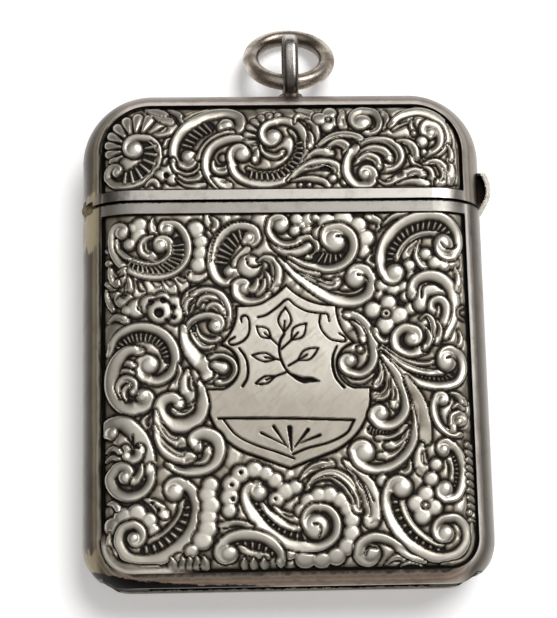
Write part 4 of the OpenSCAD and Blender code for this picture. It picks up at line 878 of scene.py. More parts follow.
    # right edge curls
    rail(f, (0.2, 0.28, 0.3, 0.28), (17, -11.2), (15.7, -11), (14.7, -10), (14.35, -8.5), (14.7, -7.3),
         end=(15.2, -7.75, 0.52, -150))
    rail(f, 0.26, (16.2, -10.6), (16.2, -9.4), (17, -9), end=(17, -9.85, 0.48, -100))
    leaf(f, 0.24, (16.2, -8.6), (16.8, -8.2), (17.4, -8.5))
    leaf(f, 0.3, (16, -7), (16.8, -7.2), (17.6, -7.9))
    ladder(f, [(16.6, -13), (17, -14.2), (16.9, -15.6), (16.4, -16.6)],
           [(15.9, -13.4), (16.1, -14.4), (16, -15.6), (15.8, -16.2)], 8)
    rail(f, 0.17, (15.6, -13.3), (15.9, -14.5), (15.8, -15.8), top=0.75)
    rail(f, (0.26, 0.3, 0.32, 0.3), (15.6, -11.9), (16.7, -12.9), (17.2, -14.4), (17, -16), (16.3, -17.2),
         (15.1, -17.5), start=(15.1, -12.7, 0.66, 120), end=(15.1, -16.5, 0.8, -120))
    for k in range(11):
        rail(f, 0.2, (17.7, -12.1 - 0.75 * k), (18.2, -12.4 - 0.75 * k), top=0.7)
    # flower and plates at the lower right
    ball(f, (14.3, -14.1, 0.62), (13.8, -15.5, 0.7), (13.2, -17, 0.78), (12.2, -17.9, 0.82),
         (13.95, -18.3, 0.78), (12.8, -19.1, 0.84), (9, -15.6, 0.6))
    ball(f, (13.1, -18.1, 0.3))
    # bottom right scroll
    ladder(f, [(9.7, -17.4), (10.2, -19.4), (11.4, -21.2), (13, -22.5), (14.6, -22.9)],
           [(10.6, -17.5), (11, -19), (12, -20.5), (13.3, -21.6), (14.5, -22.1)], 9)
    rail(f, 0.2, (10.8, -17.3), (11.1, -18.8), (12, -20.3), (13.4, -21.5), (14.5, -22), top=0.7)
    rail(f, (0.28, 0.34, 0.36, 0.36, 0.36, 0.32, 0.3), (9.7, -16), (9.3, -17.5), (9.7, -19.4),
         (10.9, -21.3), (12.6, -22.7), (14.4, -23.3), (16.1, -22.9), (17.1, -21.7), (17.1, -20.3),
         (16.2, -19.4), (15, -19.4), start=(10.9, -16.3, 1.0, -110), end=(15, -20.9, 0.85, 170))
    rail(f, 0.16, (17.9, -20), (17.8, -22), (16.8, -23.5), (14.6, -24), top=0.6)
    ball(f, (17.6, -18.8, 0.3))
    # bottom right curl
    leaf(f, 0.3, (9, -23.9), (10, -23.2), (11.3, -23.3))
    leaf(f, 0.24, (10.5, -24), (11.6, -23.7), (12.7, -23.8))
    rail(f, (0.14, 0.28, 0.36, 0.42, 0.4), (12.9, -23.7), (11.2, -22.9), (9.7, -21.6), (8.1, -21.1),
         (6.8, -21.7), (6.5, -22.9), end=(7.7, -22.8, 0.92, 110))
    cut(f, 0.14, (7.1, -22.8), (7.4, -22.1), (8.2, -22.2))


def edge_gap(x, y, near, far, r):
    """How far inside the outline of a sunk field a point lies: square at the joint, round far corners."""
    toward = 1 if far > near else -1
    u = np.abs(x) - (FIELD_HALF - r)
    v = toward * (y - far) + r
    corner = np.hypot(np.maximum(u, 0), np.maximum(v, 0)) + np.minimum(np.maximum(u, v), 0) - r
    return -np.maximum(corner, toward * (near - y))


def on_case(x, y, sunk, end, corner):
    """Points of the rounded case, let in by so much: x and y as seen from the front, in millimetres."""
    toward = 1 if end > 0 else -1
    u = np.maximum(np.abs(x) - (FLAT_HALF - corner), 0)
    v = np.maximum(toward * (y - end) + corner, 0)
    far = np.hypot(u, v)
    lean = np.clip((far - corner) / SIDE_ROUND, 0, 0.98)
    rise = np.sqrt(1 - lean ** 2)
    scale = lean / np.maximum(far, 1e-9)
    nx, ny = np.sign(x) * u * scale, toward * v * scale
    z = SIDE_ROUND + SIDE_ROUND * rise
    return np.stack([x - nx * sunk, y - ny * sunk, z - rise * sunk], -1)


def resting(solid, points, outward, sunk):
    """How far in a sheet may lie: where the solid's own scrolls stand higher, it rests on them."""
    tree = BVHTree.FromObject(solid, bpy.context.evaluated_depsgraph_get())
    inverse = solid.matrix_world.inverted()
    turn = inverse.to_3x3()
    for k in np.flatnonzero(sunk > SCROLL_TOP):
        hit = tree.ray_cast(inverse @ Vector(points[k] * MM), turn @ Vector(-outward[k]), sunk[k] * MM)
        if hit[0] is not None and hit[3] > 0.1 * MM:
            sunk[k] = min(sunk[k], hit[3] / MM - 0.02)
    return sunk


def sheet(name, node, field, shown, end, corner, body, material, behind=False):
    """Lays a chased field on the case as one piece of sheet, over the solid's scrolls."""
    x, y = field.grid()
    flush = on_case(x, y, 0, end, corner).reshape(-1, 3)
    outward = flush - on_case(x, y, 1, end, corner).reshape(-1, 3)
    if behind:
        flush, outward = flush * (1, 1, -1) + (0, 0, THICK), outward * (1, 1, -1)
    sunk = RELIEF * (1 - field.h).ravel()
    if node:
        sunk = np.where(shown.ravel(), resting(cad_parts[node], flush, outward, sunk.copy()), sunk)
    points = flush - outward * sunk[:, None]
    rows, columns = field.h.shape
    first = (np.arange(rows - 1)[:, None] * columns + np.arange(columns - 1)).ravel()
    keep = (shown[:-1, :-1] & shown[1:, :-1] & shown[:-1, 1:] & shown[1:, 1:]).ravel()
    first = first[keep]
    faces = np.stack([first, first + 1, first + columns + 1, first + columns], 1)
    if behind:
        faces = faces[:, ::-1]
    used, corners = np.unique(faces, return_inverse=True)
    corners = corners.reshape(faces.shape)
    mesh = bpy.data.meshes.new(name)
    mesh.from_pydata(points[used] * MM, [], corners)
    mesh.polygons.foreach_set("use_smooth", np.ones(len(mesh.polygons), bool))
    near, round_about = (softened(field.h, max(int(round(reach / field.pitch)), 1)) for reach in (0.12, 0.3))
    level = 0.75 * field.h + 0.25 * near
    hollow = round_about - field.h
    rubbed = np.interp(level, (0, 0.18, GROUND, 0.5, 0.8, 1), (0, 0.03, 0.24, 0.5, 0.86, 1))
    rubbed = np.clip(rubbed - 0.9 * np.maximum(hollow, 0), 0, 1)
    worn = mesh.attributes.new("rubbed", "FLOAT", "POINT")
    worn.data.foreach_set("value", rubbed.ravel()[used].astype(np.float32))
    flat = np.stack([(x - field.x[0]) / np.ptp(field.x), (y - field.y[0]) / np.ptp(field.y)], -1)
    layer = mesh.uv_layers.new(name="OFBake")
    layer.uv.foreach_set("vector", flat.reshape(-1, 2)[used][corners.ravel()].astype(np.float32).ravel())
    mesh.materials.append(material)
    piece = bpy.data.objects.new(name, mesh)
    bpy.context.scene.collection.objects.link(piece)
    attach(piece, body)
    return piece


# Oxide: black in hollows and lines, brown grey on the ground, bright where hands have rubbed the highs
oxide, given, made = group("oxide and rub", [("Rubbed", "Float", 1.0), ("Scale", "Float", 900.0)],
                           [("Colour", "Color"), ("Roughness", "Float"), ("Metal", "Float"),
                            ("Height", "Float")])
place = put(oxide, "TexCoord").outputs["Object"]
grain = put(oxide, "TexNoise", {"Vector": place, "Scale": given["Scale"], "Detail": 5.0, "Roughness": 0.6})
patchy = maths(oxide, "MULTIPLY_ADD", maths(oxide, "SUBTRACT", grain.outputs["Fac"], 0.5), 0.34,
               given["Rubbed"])
oxide.links.new(ramp(oxide, patchy, (0.0, (0.005, 0.004, 0.003)), (0.16, (0.016, 0.013, 0.01)),
                     (0.4, (0.235, 0.203, 0.158)), (0.66, (0.555, 0.52, 0.445)),
                     (0.95, (0.77, 0.737, 0.66))), made["Colour"])
oxide.links.new(ramp(oxide, patchy, (0.0, 0.62), (0.35, 0.45), (0.9, 0.34)), made["Roughness"])
oxide.links.new(ramp(oxide, patchy, (0.0, 0.35), (0.3, 1.0)), made["Metal"])
tiny = put(oxide, "TexNoise", {"Vector": place, "Scale": 5200.0, "Detail": 3.0})
oxide.links.new(tiny.outputs["Fac"], made["Height"])

chased, tree, shader = new_material("chased silver")
rubbed = put(tree, "Attribute", attribute_name="rubbed").outputs["Fac"]
finish = use(tree, oxide, Rubbed=rubbed, Scale=900.0)
surface(tree, shader, finish["Colour"], finish["Roughness"], finish["Height"], 0.3, 0.02 * MM,
        finish["Metal"])


def moat(field, near, far, r):
    """Sinks the black line along the border, but for the body's corner on the hinge's side, where the
    border runs into the field, and returns what lies in the field or just under the border."""
    x, y = field.grid()
    gap = edge_gap(x, y, near, far, r)
    run_in = np.clip((-8 - x) / 4, 0, 1) * np.clip((-19.5 - y) / 2, 0, 1)
    shallow = 0.5 * np.maximum(np.clip((x - 16.5) / 1.5, 0, 1), np.clip((-22.5 - y) / 1.2, 0, 1))
    sunk = eased(np.maximum(gap / MOAT, shallow))
    field.h = np.maximum(field.h * sunk, 0.95 * run_in * np.clip(1.1 - gap / 0.7, 0, 1))
    return gap > -UNDER_BORDER


def in_field(field, near, far, r):
    """Whether a cell lies clear inside the border."""
    x, y = field.grid()
    return edge_gap(x, y, near, far, r) > CLEAR


def shield_gap(x, y):
    """How far inside the shield's outline a point lies: hollow brows and sides, two ears over a notched
    waist, and a wide round foot drawn to a point."""
    a = np.abs(x)
    upper = np.minimum(np.minimum(y + 7.8, 4.3 - y), 7.15 - a)
    for cx, cy, r in ((4.6, 8.05, 6), (9.6, 1.7, 4.6), (7.15, -4.1, 2.3)):
        upper = np.minimum(upper, np.hypot(a - cx, y - cy) - r)
    point = np.minimum(np.minimum(0.937 * (y + 14.3) - 0.35 * a, -12 - y), 4.5 - a)
    foot = np.maximum(6.29 - np.hypot(np.maximum(a - 1.87, 0), y + 6.89), point)
    return np.maximum(upper, np.minimum(foot, -6.3 - y))


def reserve(field, height):
    """Marks out the shield: a bare plate of that height, in a line sunk all round it."""
    x, y = field.grid()
    gap = shield_gap(x, y)
    field.h = np.where(gap > 0, height * eased(gap / LINE), GROUND * eased(-gap / LINE))
    field.plate = gap > -0.05
    return gap


for name, node, behind, pitch in (("body_chasing", "body_front", False, 0.115),
                                  ("body_back_chasing", "body_back", True, 0.15)):
    field = Field(-FIELD_HALF - UNDER_BORDER, FIELD_HALF + UNDER_BORDER, BODY_FAR - UNDER_BORDER,
                  BODY_NEAR + UNDER_BORDER, pitch)
    gap = reserve(field, 0)
    field.bare &= (gap < -0.05) & in_field(field, BODY_NEAR, BODY_FAR, BODY_FIELD_R)
    chase_body(field)
    fill_bare(field)
    shown = moat(field, BODY_NEAR, BODY_FAR, BODY_FIELD_R) & ((gap < 0.6) | (field.h > 0.02))
    sheet(name, node, field, shown, BODY_END, BODY_CORNER, "body", chased, behind)

# Shields: a plain plate in the middle of each field, left flat and burnished, with the scrolls lapping its
# edge. The front one is engraved with a sprig under a line, a fan below, and a bare band between.
PLATE = 0.9  # the plate's height, as a part of the relief
SHIELD_BOX = (-9.3, 9.3, -15, 4.6)
engraved, tree, shader, bloom, lines = worn_metal("engraved plate", 330.0, 0.45, 6000.0, 0.3)
rubbed = put(tree, "Attribute", attribute_name="rubbed").outputs["Fac"]
finish = use(tree, oxide, Rubbed=rubbed, Scale=420.0)
cloudy = maths(tree, "MULTIPLY", bloom["Mask"], 0.4)
toned = mixed(tree, cloudy, finish["Colour"], (0.66, 0.60, 0.53, 1), "MULTIPLY")
place = put(tree, "TexCoord").outputs["Object"]
# short scuffs, two bright and one dark, that cross one another
for angle, scale, low, tone in ((35, 1700.0, 0.5, (0.93, 0.89, 0.81, 1)),
                                (-48, 2300.0, 0.53, (0.36, 0.31, 0.25, 1)),
                                (-20, 1300.0, 0.52, (0.9, 0.85, 0.76, 1))):
    turned = put(tree, "Mapping", {"Vector": place, "Rotation": (0, 0, math.radians(angle)),
                                   "Scale": (1, 4.5, 1)}, vector_type="TEXTURE").outputs[0]
    scuff = put(tree, "TexNoise", {"Vector": turned, "Scale": scale, "Detail": 3.0}).outputs["Fac"]
    scuff = ramp(tree, scuff, (low, 0.0), (low + 0.2, 0.55))
    toned = mixed(tree, maths(tree, "MULTIPLY", scuff, rubbed), toned, tone)
browner = put(tree, "MapRange", {0: split(tree, place)[1], 1: -2 * MM, 2: -9 * MM, 4: 0.6},
              interpolation_type="SMOOTHSTEP").outputs[0]
toned = mixed(tree, maths(tree, "MULTIPLY", browner, rubbed), toned, (0.34, 0.295, 0.235, 1))
dull = maths(tree, "MULTIPLY_ADD", lines["Dulling"], 0.05, finish["Roughness"])
surface(tree, shader, toned, dull, lines["Height"], 0.12, metallic=finish["Metal"])


def engrave(field):
    """The engraver's lines on the front shield."""
    # brow line and side flourishes
    cut(field, 0.11, (-2.9, 0.85), (-2, 1.1), (-1, 1.8), (0.1, 2.65), (0.8, 2.1), (1.8, 1.5), (2.8, 1.25),
        (4, 1.1), (4.2, 0.4))
    cut(field, 0.11, (3.35, 1.05), (3.25, 0.2), (3.5, -0.6), (4.2, -1.4), (5, -1.65), (5.7, -1.7),
        (5.75, -1.3), (5.2, -0.9))
    cut(field, 0.11, (-4.5, 0.4), (-4.5, 0.85), (-4.15, 1.05), (-3.8, 0.75), (-3.7, 0), (-3.8, -0.8),
        (-4.2, -1.4), (-4.9, -1.8), (-5.6, -1.9), (-5.75, -1.5), (-5.2, -1.15))
    cut(field, (0.09, 0.17, 0.17), (4.9, -2.2), (4.5, -3.2), (4.5, -4.4), (4.8, -5.4), (5.5, -6.3))
    cut(field, 0.13, (-4.75, -2.3), (-4.2, -3.1), (-3.95, -4), (-4, -5.2), (-4.5, -6.1))
    # sprig: a bent stem, thick at its cut end, and six leaves in outline, each on its stalk
    cut(field, 0.13, (-0.3, -0.9), (-0.7, -1.6), (-0.8, -2.6), (-0.6, -3.6), (0, -4.7), (0.8, -5.3))
    cut(field, (0.13, 0.28, 0.34, 0.26, 0.05), (0.3, -4.95), (1, -5.35), (1.6, -5.55), (2.2, -5.5),
        (3.1, -5.7))
    for stalk, base, tip, wide in (((-0.3, -0.9), (-0.3, -0.7), (-0.1, 1.8), 0.62),
                                   ((-0.8, -2.1), (-1.6, -1.3), (-3, -0.1), 0.48),
                                   ((-0.6, -2.4), (0.4, -1.5), (1.9, 0.15), 0.6),
                                   ((-0.8, -3.5), (-1.2, -3.4), (-3.5, -3), 0.42),
                                   ((0.05, -4.1), (1, -3.55), (3.05, -2.35), 0.5),
                                   ((-0.2, -4.75), (-1.3, -5.15), (-3.2, -5.85), 0.34)):
        base, tip = np.array(base), np.array(tip)
        along = tip - base
        side = wide * np.array([-along[1], along[0]]) / np.hypot(*along)
        for bow in (side, -side):
            cut(field, 0.095, base, base + 0.4 * along + bow, base + 0.72 * along + 0.75 * bow, tip)
        cut(field, 0.1, stalk, base, base + 0.45 * along)
    # line, lower arcs and fan
    cut(field, 0.13, (-6.9, -9.25), (0, -9.35), (6.4, -9.6))
    cut(field, 0.11, (-6.4, -9.4), (-5.2, -10.9), (-3.4, -11.9), (-1.4, -12.6), (0.4, -13.3))
    cut(field, 0.11, (6.4, -9.6), (5.6, -10.9), (3.8, -11.8), (1.8, -12.3), (0.3, -12.9))
    for root, end, wide in (((-0.4, -12), (-2.75, -10.75), 0.13), ((-0.2, -12.2), (-1.5, -10.15), 0.17),
                            ((0.2, -12.6), (0.05, -10.3), 0.26), ((0.5, -12.2), (1.85, -10.5), 0.17),
                            ((1, -11.8), (3, -11.05), 0.14)):
        cut(field, (0.05, wide), root, end)


for name, node, behind, pitch in (("shield", "shield_front", False, 0.07),
                                  ("back_shield", "shield_back", True, 0.14)):
    field = Field(*SHIELD_BOX, pitch)
    reserve(field, PLATE)
    chase_body(field)
    if not behind:
        engrave(field)
    plate = sheet(name, None, field, field.plate, BODY_END, BODY_CORNER, "body", engraved, behind)
    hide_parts(node)

# Striker: a ribbed plate set in the channel across the base, to strike the matches on.
# It is black with their dust, which lies thicker in patches and takes off all shine.
striker, tree, shader = new_material("match striker")
bloom = use(tree, tarnish, Scale=900.0, Amount=0.5)
dust = mixed(tree, maths(tree, "MULTIPLY", bloom["Mask"], 0.6), NEAR_BLACK, (0.045, 0.039, 0.033, 1))
dull = maths(tree, "MULTIPLY_ADD", bloom["Specks"], 0.3, 0.55)
surface(tree, shader, dust, dull, bloom["Specks"], 0.4, 0.04 * MM, metallic=0)
shader.inputs["Specular IOR Level"].default_value = 0.15
dress(striker, "striker")

# Mouth collar: a gilt strip soldered inside the mouth, which the lid closes over.
# It is bright where the lid rubs, with grime along the joint.
gilt, tree, shader, bloom, lines = worn_metal("rubbed gilt", 300.0, 0.4, 9000.0)
yellow = mixed(tree, bloom["Mask"], GILT, (0.68, 0.56, 0.38, 1))
along = maths(tree, "DIVIDE", split(tree, put(tree, "TexCoord").outputs["Object"])[1], MM)
yellow = mixed(tree, between(tree, along, JOINT - 0.3, JOINT + 0.3, 0.12), yellow, NEAR_BLACK)
dull = maths(tree, "MULTIPLY_ADD", lines["Dulling"], 0.15, 0.26)
surface(tree, shader, yellow, dull, lines["Height"], 0.3)
dress(gilt, "mouth_collar")

# Hinge: knuckles let flush into the left side on a pin, both worn tan, with a riveted leaf spring of blued
# steel inside that snaps the lid open and shut.
knuckle, tree, shader, bloom, lines = worn_metal("worn knuckles", 600.0, 0.5, 9000.0)
worn = mixed(tree, bloom["Mask"], TAN, (0.11, 0.082, 0.05, 1))
dull = maths(tree, "MULTIPLY_ADD", bloom["Mask"], 0.2, 0.3)
surface(tree, shader, worn, dull, lines["Height"], 0.3)
dress(knuckle, "body_knuckle_front", "body_knuckle_back", "lid_knuckle", "hinge_pin")
dress(shell, "spring_seat")
steel, tree, shader, bloom, lines = worn_metal("blued steel", 700.0, 0.45, 12000.0)
blued = mixed(tree, bloom["Mask"], (0.33, 0.34, 0.36, 1), (0.16, 0.13, 0.11, 1))
dull = maths(tree, "MULTIPLY_ADD", bloom["Mask"], 0.25, 0.28)
surface(tree, shader, blued, dull, lines["Height"], 0.35)
dress(steel, "hinge_spring", "spring_rivets")

# Lid: two struck halves like the body's, with a plain band along the joint.
# Its field is chased in the same way, and takes the same finish.
LID_NEAR, LID_FAR, LID_FIELD_R = 14.025, 23.4, 5.0
dress(shell, "lid_front", "lid_back")


def chase_lid(f):
    """Every scroll of the lid's field."""
    # left scroll with its fan of petals
    fan(f, -15, 18.4, 1.5, (3.1, 4.5), 205, 66, 8, top=0.85)
    leaf(f, 0.42, (-13.2, 19.9), (-12.2, 20.1), (-11, 20.7))
    leaf(f, 0.36, (-13.6, 22.6), (-12.3, 21.9), (-11.3, 21.4))
    leaf(f, 0.3, (-14, 23), (-12.8, 22.7), (-11.9, 22.4))
    leaf(f, 0.3, (-11.6, 23), (-10.6, 22.4), (-10.1, 21.6))
    rail(f, (0.2, 0.3, 0.32, 0.3, 0.26), (-17.9, 15.5), (-17.2, 14.85), (-16, 14.65), (-14.4, 15.05),
         (-13.2, 16), (-12.6, 17.3), (-12.7, 18.6), (-13.5, 19.5), (-14.6, 19.7),
         start=(-16.9, 16.1, 0.5, -200), end=(-15.05, 18.4, 0.9, 190))
    ladder(f, [(-13, 19), (-12.9, 17.5), (-13.5, 16.2), (-15, 15.1), (-16.4, 15)],
           [(-13.9, 18.7), (-14, 17.6), (-14.5, 16.8), (-15.3, 16.2), (-16.2, 15.9)], 7)
    # trefoil and small lobes
    ball(f, (-12.4, 15.6, 0.62), (-11.2, 15.3, 0.6), (-11.7, 16.35, 0.66))
    pits(f, (-11.8, 15.65, 0.3))
    leaf(f, 0.22, (-11.3, 17.5), (-11.8, 17.3), (-12, 16.9))
    leaf(f, 0.22, (-11.3, 18.6), (-11.8, 18.3), (-11.9, 17.9))
    leaf(f, 0.25, (-11.2, 19.6), (-11.7, 19.3), (-11.9, 18.8))
    leaf(f, 0.3, (-14, 14.5), (-13.2, 15.1), (-12.6, 14.6))
    # second scroll
    rail(f, 0.12, (-9.9, 21.9), (-8.6, 22.7), (-6.9, 23.1), top=0.6)
    rail(f, (0.24, 0.34, 0.36, 0.4, 0.42), (-9.9, 16.55), (-10.9, 17.2), (-11, 18.6), (-10.4, 20),
         (-9.2, 21.2), (-7.6, 22.2), (-5.8, 22.6), (-4.5, 22.1), (-4.2, 21), start=(-9.6, 17.65, 0.68, 150),
         end=(-5.7, 21.05, 0.75, -150))
    ladder(f, [(-10.2, 18.8), (-9.3, 20.2), (-7.8, 21.3)], [(-9.3, 18.6), (-8.5, 19.6), (-7.1, 20.4)], 6)
    rail(f, 0.2, (-11.2, 17.2), (-10.8, 16.2), (-9.7, 15.75), (-8.7, 16.1), (-8.2, 16.9))
    leaf(f, 0.34, (-10.7, 15.7), (-9.8, 15.2), (-8.8, 15.3), (-8.2, 15.9))
    leaf(f, 0.24, (-10.8, 15.2), (-9.8, 14.6), (-8, 14.6))
    # middle ring
    rail(f, (0.2, 0.25, 0.28), (-8.6, 17.5), (-7.7, 18.9), (-6.5, 19.75), (-5.2, 20.1), top=0.7)
    rail(f, (0.3, 0.34, 0.32, 0.3, 0.28), (-6.7, 14.6), (-7.6, 15.8), (-7.8, 17.1), (-7.3, 18.4),
         (-6.2, 19.2), (-4.8, 19.5), (-3.5, 19.2), (-2.75, 18.3), (-2.8, 17.2))
    leaf(f, 0.42, (-7.1, 17.2), (-6.9, 16.3), (-6.1, 16.1), (-5.4, 16.5))
    ball(f, (-6.1, 17.45, 0.42), top=0.5)
    leaf(f, 0.4, (-7.2, 15.4), (-6.4, 14.9), (-5.6, 14.5))
    # centre spiral and its left ball
    fan(f, -0.9, 19.4, 1.9, (3.3, 3.2), 80, 205, 8)
    leaf(f, 0.3, (-2.3, 19), (-1.9, 18), (-0.8, 17.6), (0, 18))
    rail(f, (0.24, 0.33, 0.36, 0.36, 0.34, 0.3, 0.26), (-5.2, 17), (-4.9, 15.9), (-3.9, 15.1), (-2.2, 14.8),
         (-0.4, 15), (1.2, 15.9), (2.2, 17.4), (2.35, 19.2), (1.6, 20.8), (0.2, 21.5), (-1.2, 21.2),
         start=(-4.1, 17.9, 0.82, -170), end=(-0.9, 19.65, 0.82, 200))
    rail(f, 0.15, (-3.6, 16.3), (-2.4, 15.9), (-0.8, 16), (0.5, 16.8), (1.3, 18), (1.4, 19.3), (0.8, 20.4),
         top=0.6)
    ladder(f, [(-3.6, 15.5), (-2, 15.2), (-0.3, 15.4), (1.2, 16.6), (1.9, 18), (1.8, 19.4)],
           [(-3.4, 16.1), (-2.2, 15.8), (-0.6, 15.9), (0.7, 16.9), (1.4, 18.1), (1.4, 19.3)], 14)
    # leaves right of the centre
    leaf(f, 0.36, (1.2, 21.2), (1.7, 22.1), (2.7, 21.8), (3.1, 20.9))
    leaf(f, 0.36, (2.4, 21.6), (3.3, 20.8), (3.4, 19.3))
    leaf(f, 0.3, (2.6, 20.3), (2.9, 19.6), (2.8, 18.6))
    leaf(f, 0.3, (1.4, 22.9), (2.4, 22.7), (3.2, 22.3))
    ball(f, (3.85, 21.75, 0.72), (4.9, 22.5, 0.7), (4.6, 20.75, 0.6), (5.35, 21.3, 0.55))
    pits(f, (4.75, 21.55, 0.42))
    ball(f, (4.7, 21.6, 0.2))
    leaf(f, 0.42, (6.3, 22.7), (6.1, 21.6), (6.2, 20.7))
    rail(f, (0.2, 0.3, 0.34, 0.3), (8.4, 19.9), (9.6, 20.3), (10, 21.4), (9.4, 22.5), (8.2, 22.75),
         end=(8.2, 21.35, 0.9, 200))
    leaf(f, 0.3, (10.3, 20.3), (10.7, 21.4), (10.4, 22.5))
    leaf(f, 0.36, (3, 17.7), (4.1, 19.1), (5.6, 19.8), (7, 19.8), (8, 19.4), ribs=2)
    leaf(f, 0.4, (4.2, 18.2), (5.4, 19), (6.4, 18.7), (6.5, 17.8))
    leaf(f, 0.36, (2.2, 17.2), (3.4, 18), (4.9, 17.9))
    leaf(f, 0.5, (0.4, 15), (2, 16.3), (3.8, 16.8), (5.3, 16.5), (5.6, 15.6))
    pits(f, (4.5, 16.4, 0.42), (4, 16.2, 0.3))
    leaf(f, 0.3, (0.8, 15), (2.4, 15.2), (3.8, 15), (4.6, 14.5))
    ball(f, (5, 15.2, 0.42), (1.7, 14.5, 0.26), (2.6, 14.5, 0.26), (6.2, 14.8, 0.4))
    # acanthus with its volute
    leaf(f, 0.45, (7.2, 18.2), (8.7, 19.1), (10.4, 19.2), (11.6, 18.4), (11.9, 17.3), (11.2, 16.4),
         (10, 16.2))
    leaf(f, 0.4, (7.3, 17.4), (8.7, 18.3), (10.2, 18.1), (10.9, 17.2))
    leaf(f, 0.42, (7.2, 16.7), (8.4, 17.5), (9.4, 17.2), (9.7, 16.4))
    rail(f, (0.3, 0.36, 0.34, 0.28), (7.4, 18.4), (6.6, 17.2), (6.5, 15.7), (7.3, 14.6), (8.5, 14.45),
         end=(8.3, 15.6, 0.62, 250))
    # right scroll
    leaf(f, 0.46, (11.2, 20.3), (12, 21.2), (12.9, 21.7))
    leaf(f, 0.24, (13.3, 21.5), (13.2, 20.8), (13.4, 20.2))
    rail(f, (0.2, 0.36, 0.44, 0.46, 0.4), (11, 20.8), (12.2, 22), (13.8, 22.6), (15.4, 22.3), (16.6, 21.2),
         (16.9, 19.7), (16.2, 18.4), (14.8, 17.5))
    rail(f, (0.2, 0.3, 0.34, 0.3), (14.6, 17.6), (15.8, 18.4), (16.2, 19.5), (15.9, 20.7), (14.9, 21.1),
         end=(15.2, 20, 0.6, 150))
    ball(f, (14.2, 19, 0.6), (13.4, 19.9, 0.28), (14.3, 17.9, 0.35))
    leaf(f, 0.42, (11.6, 19.2), (12.7, 19), (13.4, 18.2), (13.4, 17))
    leaf(f, 0.4, (12.8, 17.6), (13.6, 16.4), (14.8, 15.9), (15.1, 14.8))
    leaf(f, 0.46, (14.2, 16.7), (15.6, 16.9), (16.5, 16.1), (16.5, 15.1), (15.8, 14.6))
    leaf(f, 0.42, (9.6, 15), (10.4, 14.6), (11.8, 15.2), (13.2, 15.9), (14.2, 15.6))
    leaf(f, 0.3, (11.4, 14.5), (13, 14.8), (14.6, 14.6))
    rail(f, 0.14, (17.2, 21.5), (17.7, 19.6), (17.8, 17), (17.8, 14.8), top=0.6)
    leaf(f, 0.36, (16.9, 17.4), (17.3, 16.3), (17.1, 14.8))
    leaf(f, 0.25, (16.9, 18.8), (17.3, 18), (17.3, 17.2))


for name, node, behind, pitch in (("lid_chasing", "lid_front", False, 0.1),
                                  ("lid_back_chasing", "lid_back", True, 0.15)):
    field = Field(-FIELD_HALF - UNDER_BORDER, FIELD_HALF + UNDER_BORDER, LID_NEAR - UNDER_BORDER,
                  LID_FAR + UNDER_BORDER, pitch)
    field.bare &= in_field(field, LID_NEAR, LID_FAR, LID_FIELD_R)
    chase_lid(field)
    fill_bare(field)
    shown = moat(field, LID_NEAR, LID_FAR, LID_FIELD_R)
    sheet(name, node, field, shown, LID_END, LID_CORNER, "lid", chased, behind)

# Thumbpiece: a hollow-fronted lug soldered to the lid's right side, brown, near black in the hollow with
# dirt and painted shade, and polished on the lip, where the thumb presses.
THUMB_MIDDLE, LIP_INSIDE, HOLLOW_FLOOR = (18.19, 14.85, 0), 2.81, 6.2
lug, tree, shader, bloom, lines = worn_metal("hollow lug", 900.0, 0.45, 9000.0)
place = put(tree, "TexCoord").outputs["Object"]
in_mm = put(tree, "VectorMath", {0: place, 3: 1 / MM}, operation="SCALE").outputs[0]
flat = put(tree, "VectorMath", {0: in_mm, 1: (1, 1, 0)}, operation="MULTIPLY").outputs[0]
out = put(tree, "VectorMath", {0: flat, 1: THUMB_MIDDLE}, operation="DISTANCE").outputs["Value"]
out = maths(tree, "MULTIPLY_ADD", bloom["Specks"], -0.22, out)
# the hollow front is painted near black: dirt in it, and painted shade of the hollow
dirty = maths(tree, "MULTIPLY", maths(tree, "LESS_THAN", out, LIP_INSIDE),
              maths(tree, "GREATER_THAN", split(tree, in_mm)[2], HOLLOW_FLOOR - 0.1))
lip = mixed(tree, bloom["Mask"], (0.50, 0.465, 0.41, 1), (0.31, 0.275, 0.23, 1))
lip = mixed(tree, dirty, lip, (0.035, 0.026, 0.02, 1))
dull = maths(tree, "MULTIPLY_ADD", dirty, 0.3, 0.25)
surface(tree, shader, lip, dull, lines["Height"], 0.3)
dress(lug, "thumbpiece")
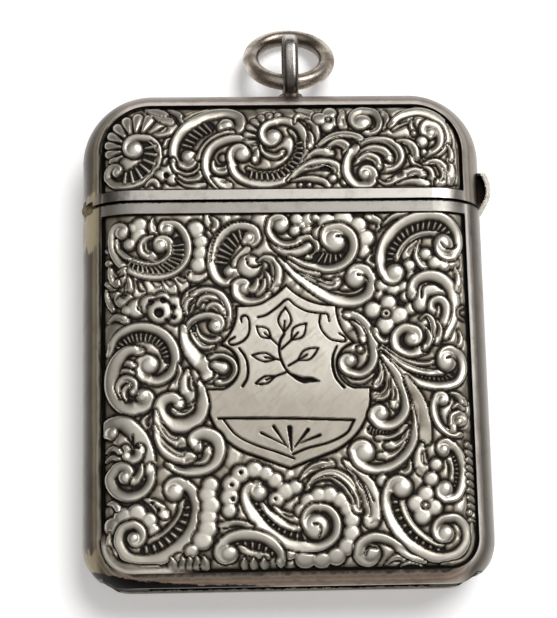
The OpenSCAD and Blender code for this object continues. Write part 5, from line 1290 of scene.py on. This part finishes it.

# Loop: an oval eye of round wire, soldered upright on the foot at the top of the lid.
# It is bright along its back, where the ring rubs it, with painted shade on its sides by which way they
# face, and darker towards the foot.
LOOP_BRIGHT, LOOP_DARK = 30.4, 27
loop, tree, shader, bloom, lines = worn_metal("rubbed wire", 500.0, 0.4, 9000.0)
coordinates = put(tree, "TexCoord").outputs
# painted shade: the wire's sides, facing across, are darkened
around = maths(tree, "ABSOLUTE", split(tree, coordinates["Normal"])[0])
shaded_sides = ramp(tree, around, (0.3, 0.0), (0.75, 1.0))
rise = split(tree, coordinates["Object"])[1]
dark_foot = put(tree, "MapRange", {0: rise, 1: LOOP_BRIGHT * MM, 2: LOOP_DARK * MM},
                interpolation_type="SMOOTHSTEP").outputs[0]
dark = maths(tree, "MAXIMUM", shaded_sides, maths(tree, "MULTIPLY", dark_foot, 0.9))
wire = mixed(tree, dark, (0.62, 0.59, 0.55, 1), (0.06, 0.047, 0.04, 1))
wire = mixed(tree, maths(tree, "MULTIPLY", bloom["Mask"], 0.4), wire, (0.33, 0.28, 0.245, 1))
dull = maths(tree, "MULTIPLY_ADD", lines["Dulling"], 0.15, 0.2)
surface(tree, shader, wire, dull, lines["Height"], 0.25)
dress(loop, "chain_loop")

# Loop's foot: a stepped collar, soldered to the top of the lid to carry the loop.
# It is black brown with old polish that no cloth reaches.
foot, tree, shader, bloom, lines = worn_metal("dirty collar", 1200.0, 0.5, 9000.0)
polish = mixed(tree, bloom["Mask"], (0.26, 0.21, 0.17, 1), (0.04, 0.031, 0.026, 1))
dull = maths(tree, "MULTIPLY_ADD", bloom["Mask"], 0.2, 0.35)
surface(tree, shader, polish, dull, lines["Height"], 0.25)
dress(foot, "loop_foot")

# Chain ring: a closed ring of heavier wire that swings in the loop, for the watch chain.
# It is brown with tarnish, and darkest on its inside, where shade is painted.
ring, tree, shader, bloom, lines = worn_metal("tarnished ring", 420.0, 0.48, 7000.0)
brown = mixed(tree, bloom["Mask"], (0.66, 0.59, 0.51, 1), (0.27, 0.22, 0.172, 1))
coordinates = put(tree, "TexCoord").outputs
middle = tuple((low + high) / 2 for low, high in zip(*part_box("chain_ring")))
# painted shade on the faces turned in towards the ring's middle
outward = put(tree, "VectorMath", {0: coordinates["Object"], 1: middle}, operation="SUBTRACT").outputs[0]
outward = put(tree, "VectorMath", {0: outward}, operation="NORMALIZE").outputs[0]
inside_shade = put(tree, "VectorMath", {0: coordinates["Normal"], 1: outward},
                operation="DOT_PRODUCT").outputs["Value"]
inside_shade = ramp(tree, maths(tree, "MULTIPLY", inside_shade, -1.0), (0.1, 0.0), (0.8, 0.8))
brown = mixed(tree, inside_shade, brown, (0.075, 0.058, 0.042, 1))
brown = mixed(tree, maths(tree, "MULTIPLY", bloom["Specks"], 0.35), brown, (0.05, 0.035, 0.03, 1))
dull = maths(tree, "MULTIPLY_ADD", bloom["Mask"], 0.2, 0.25)
surface(tree, shader, brown, dull, lines["Height"], 0.3)
dress(ring, "chain_ring")
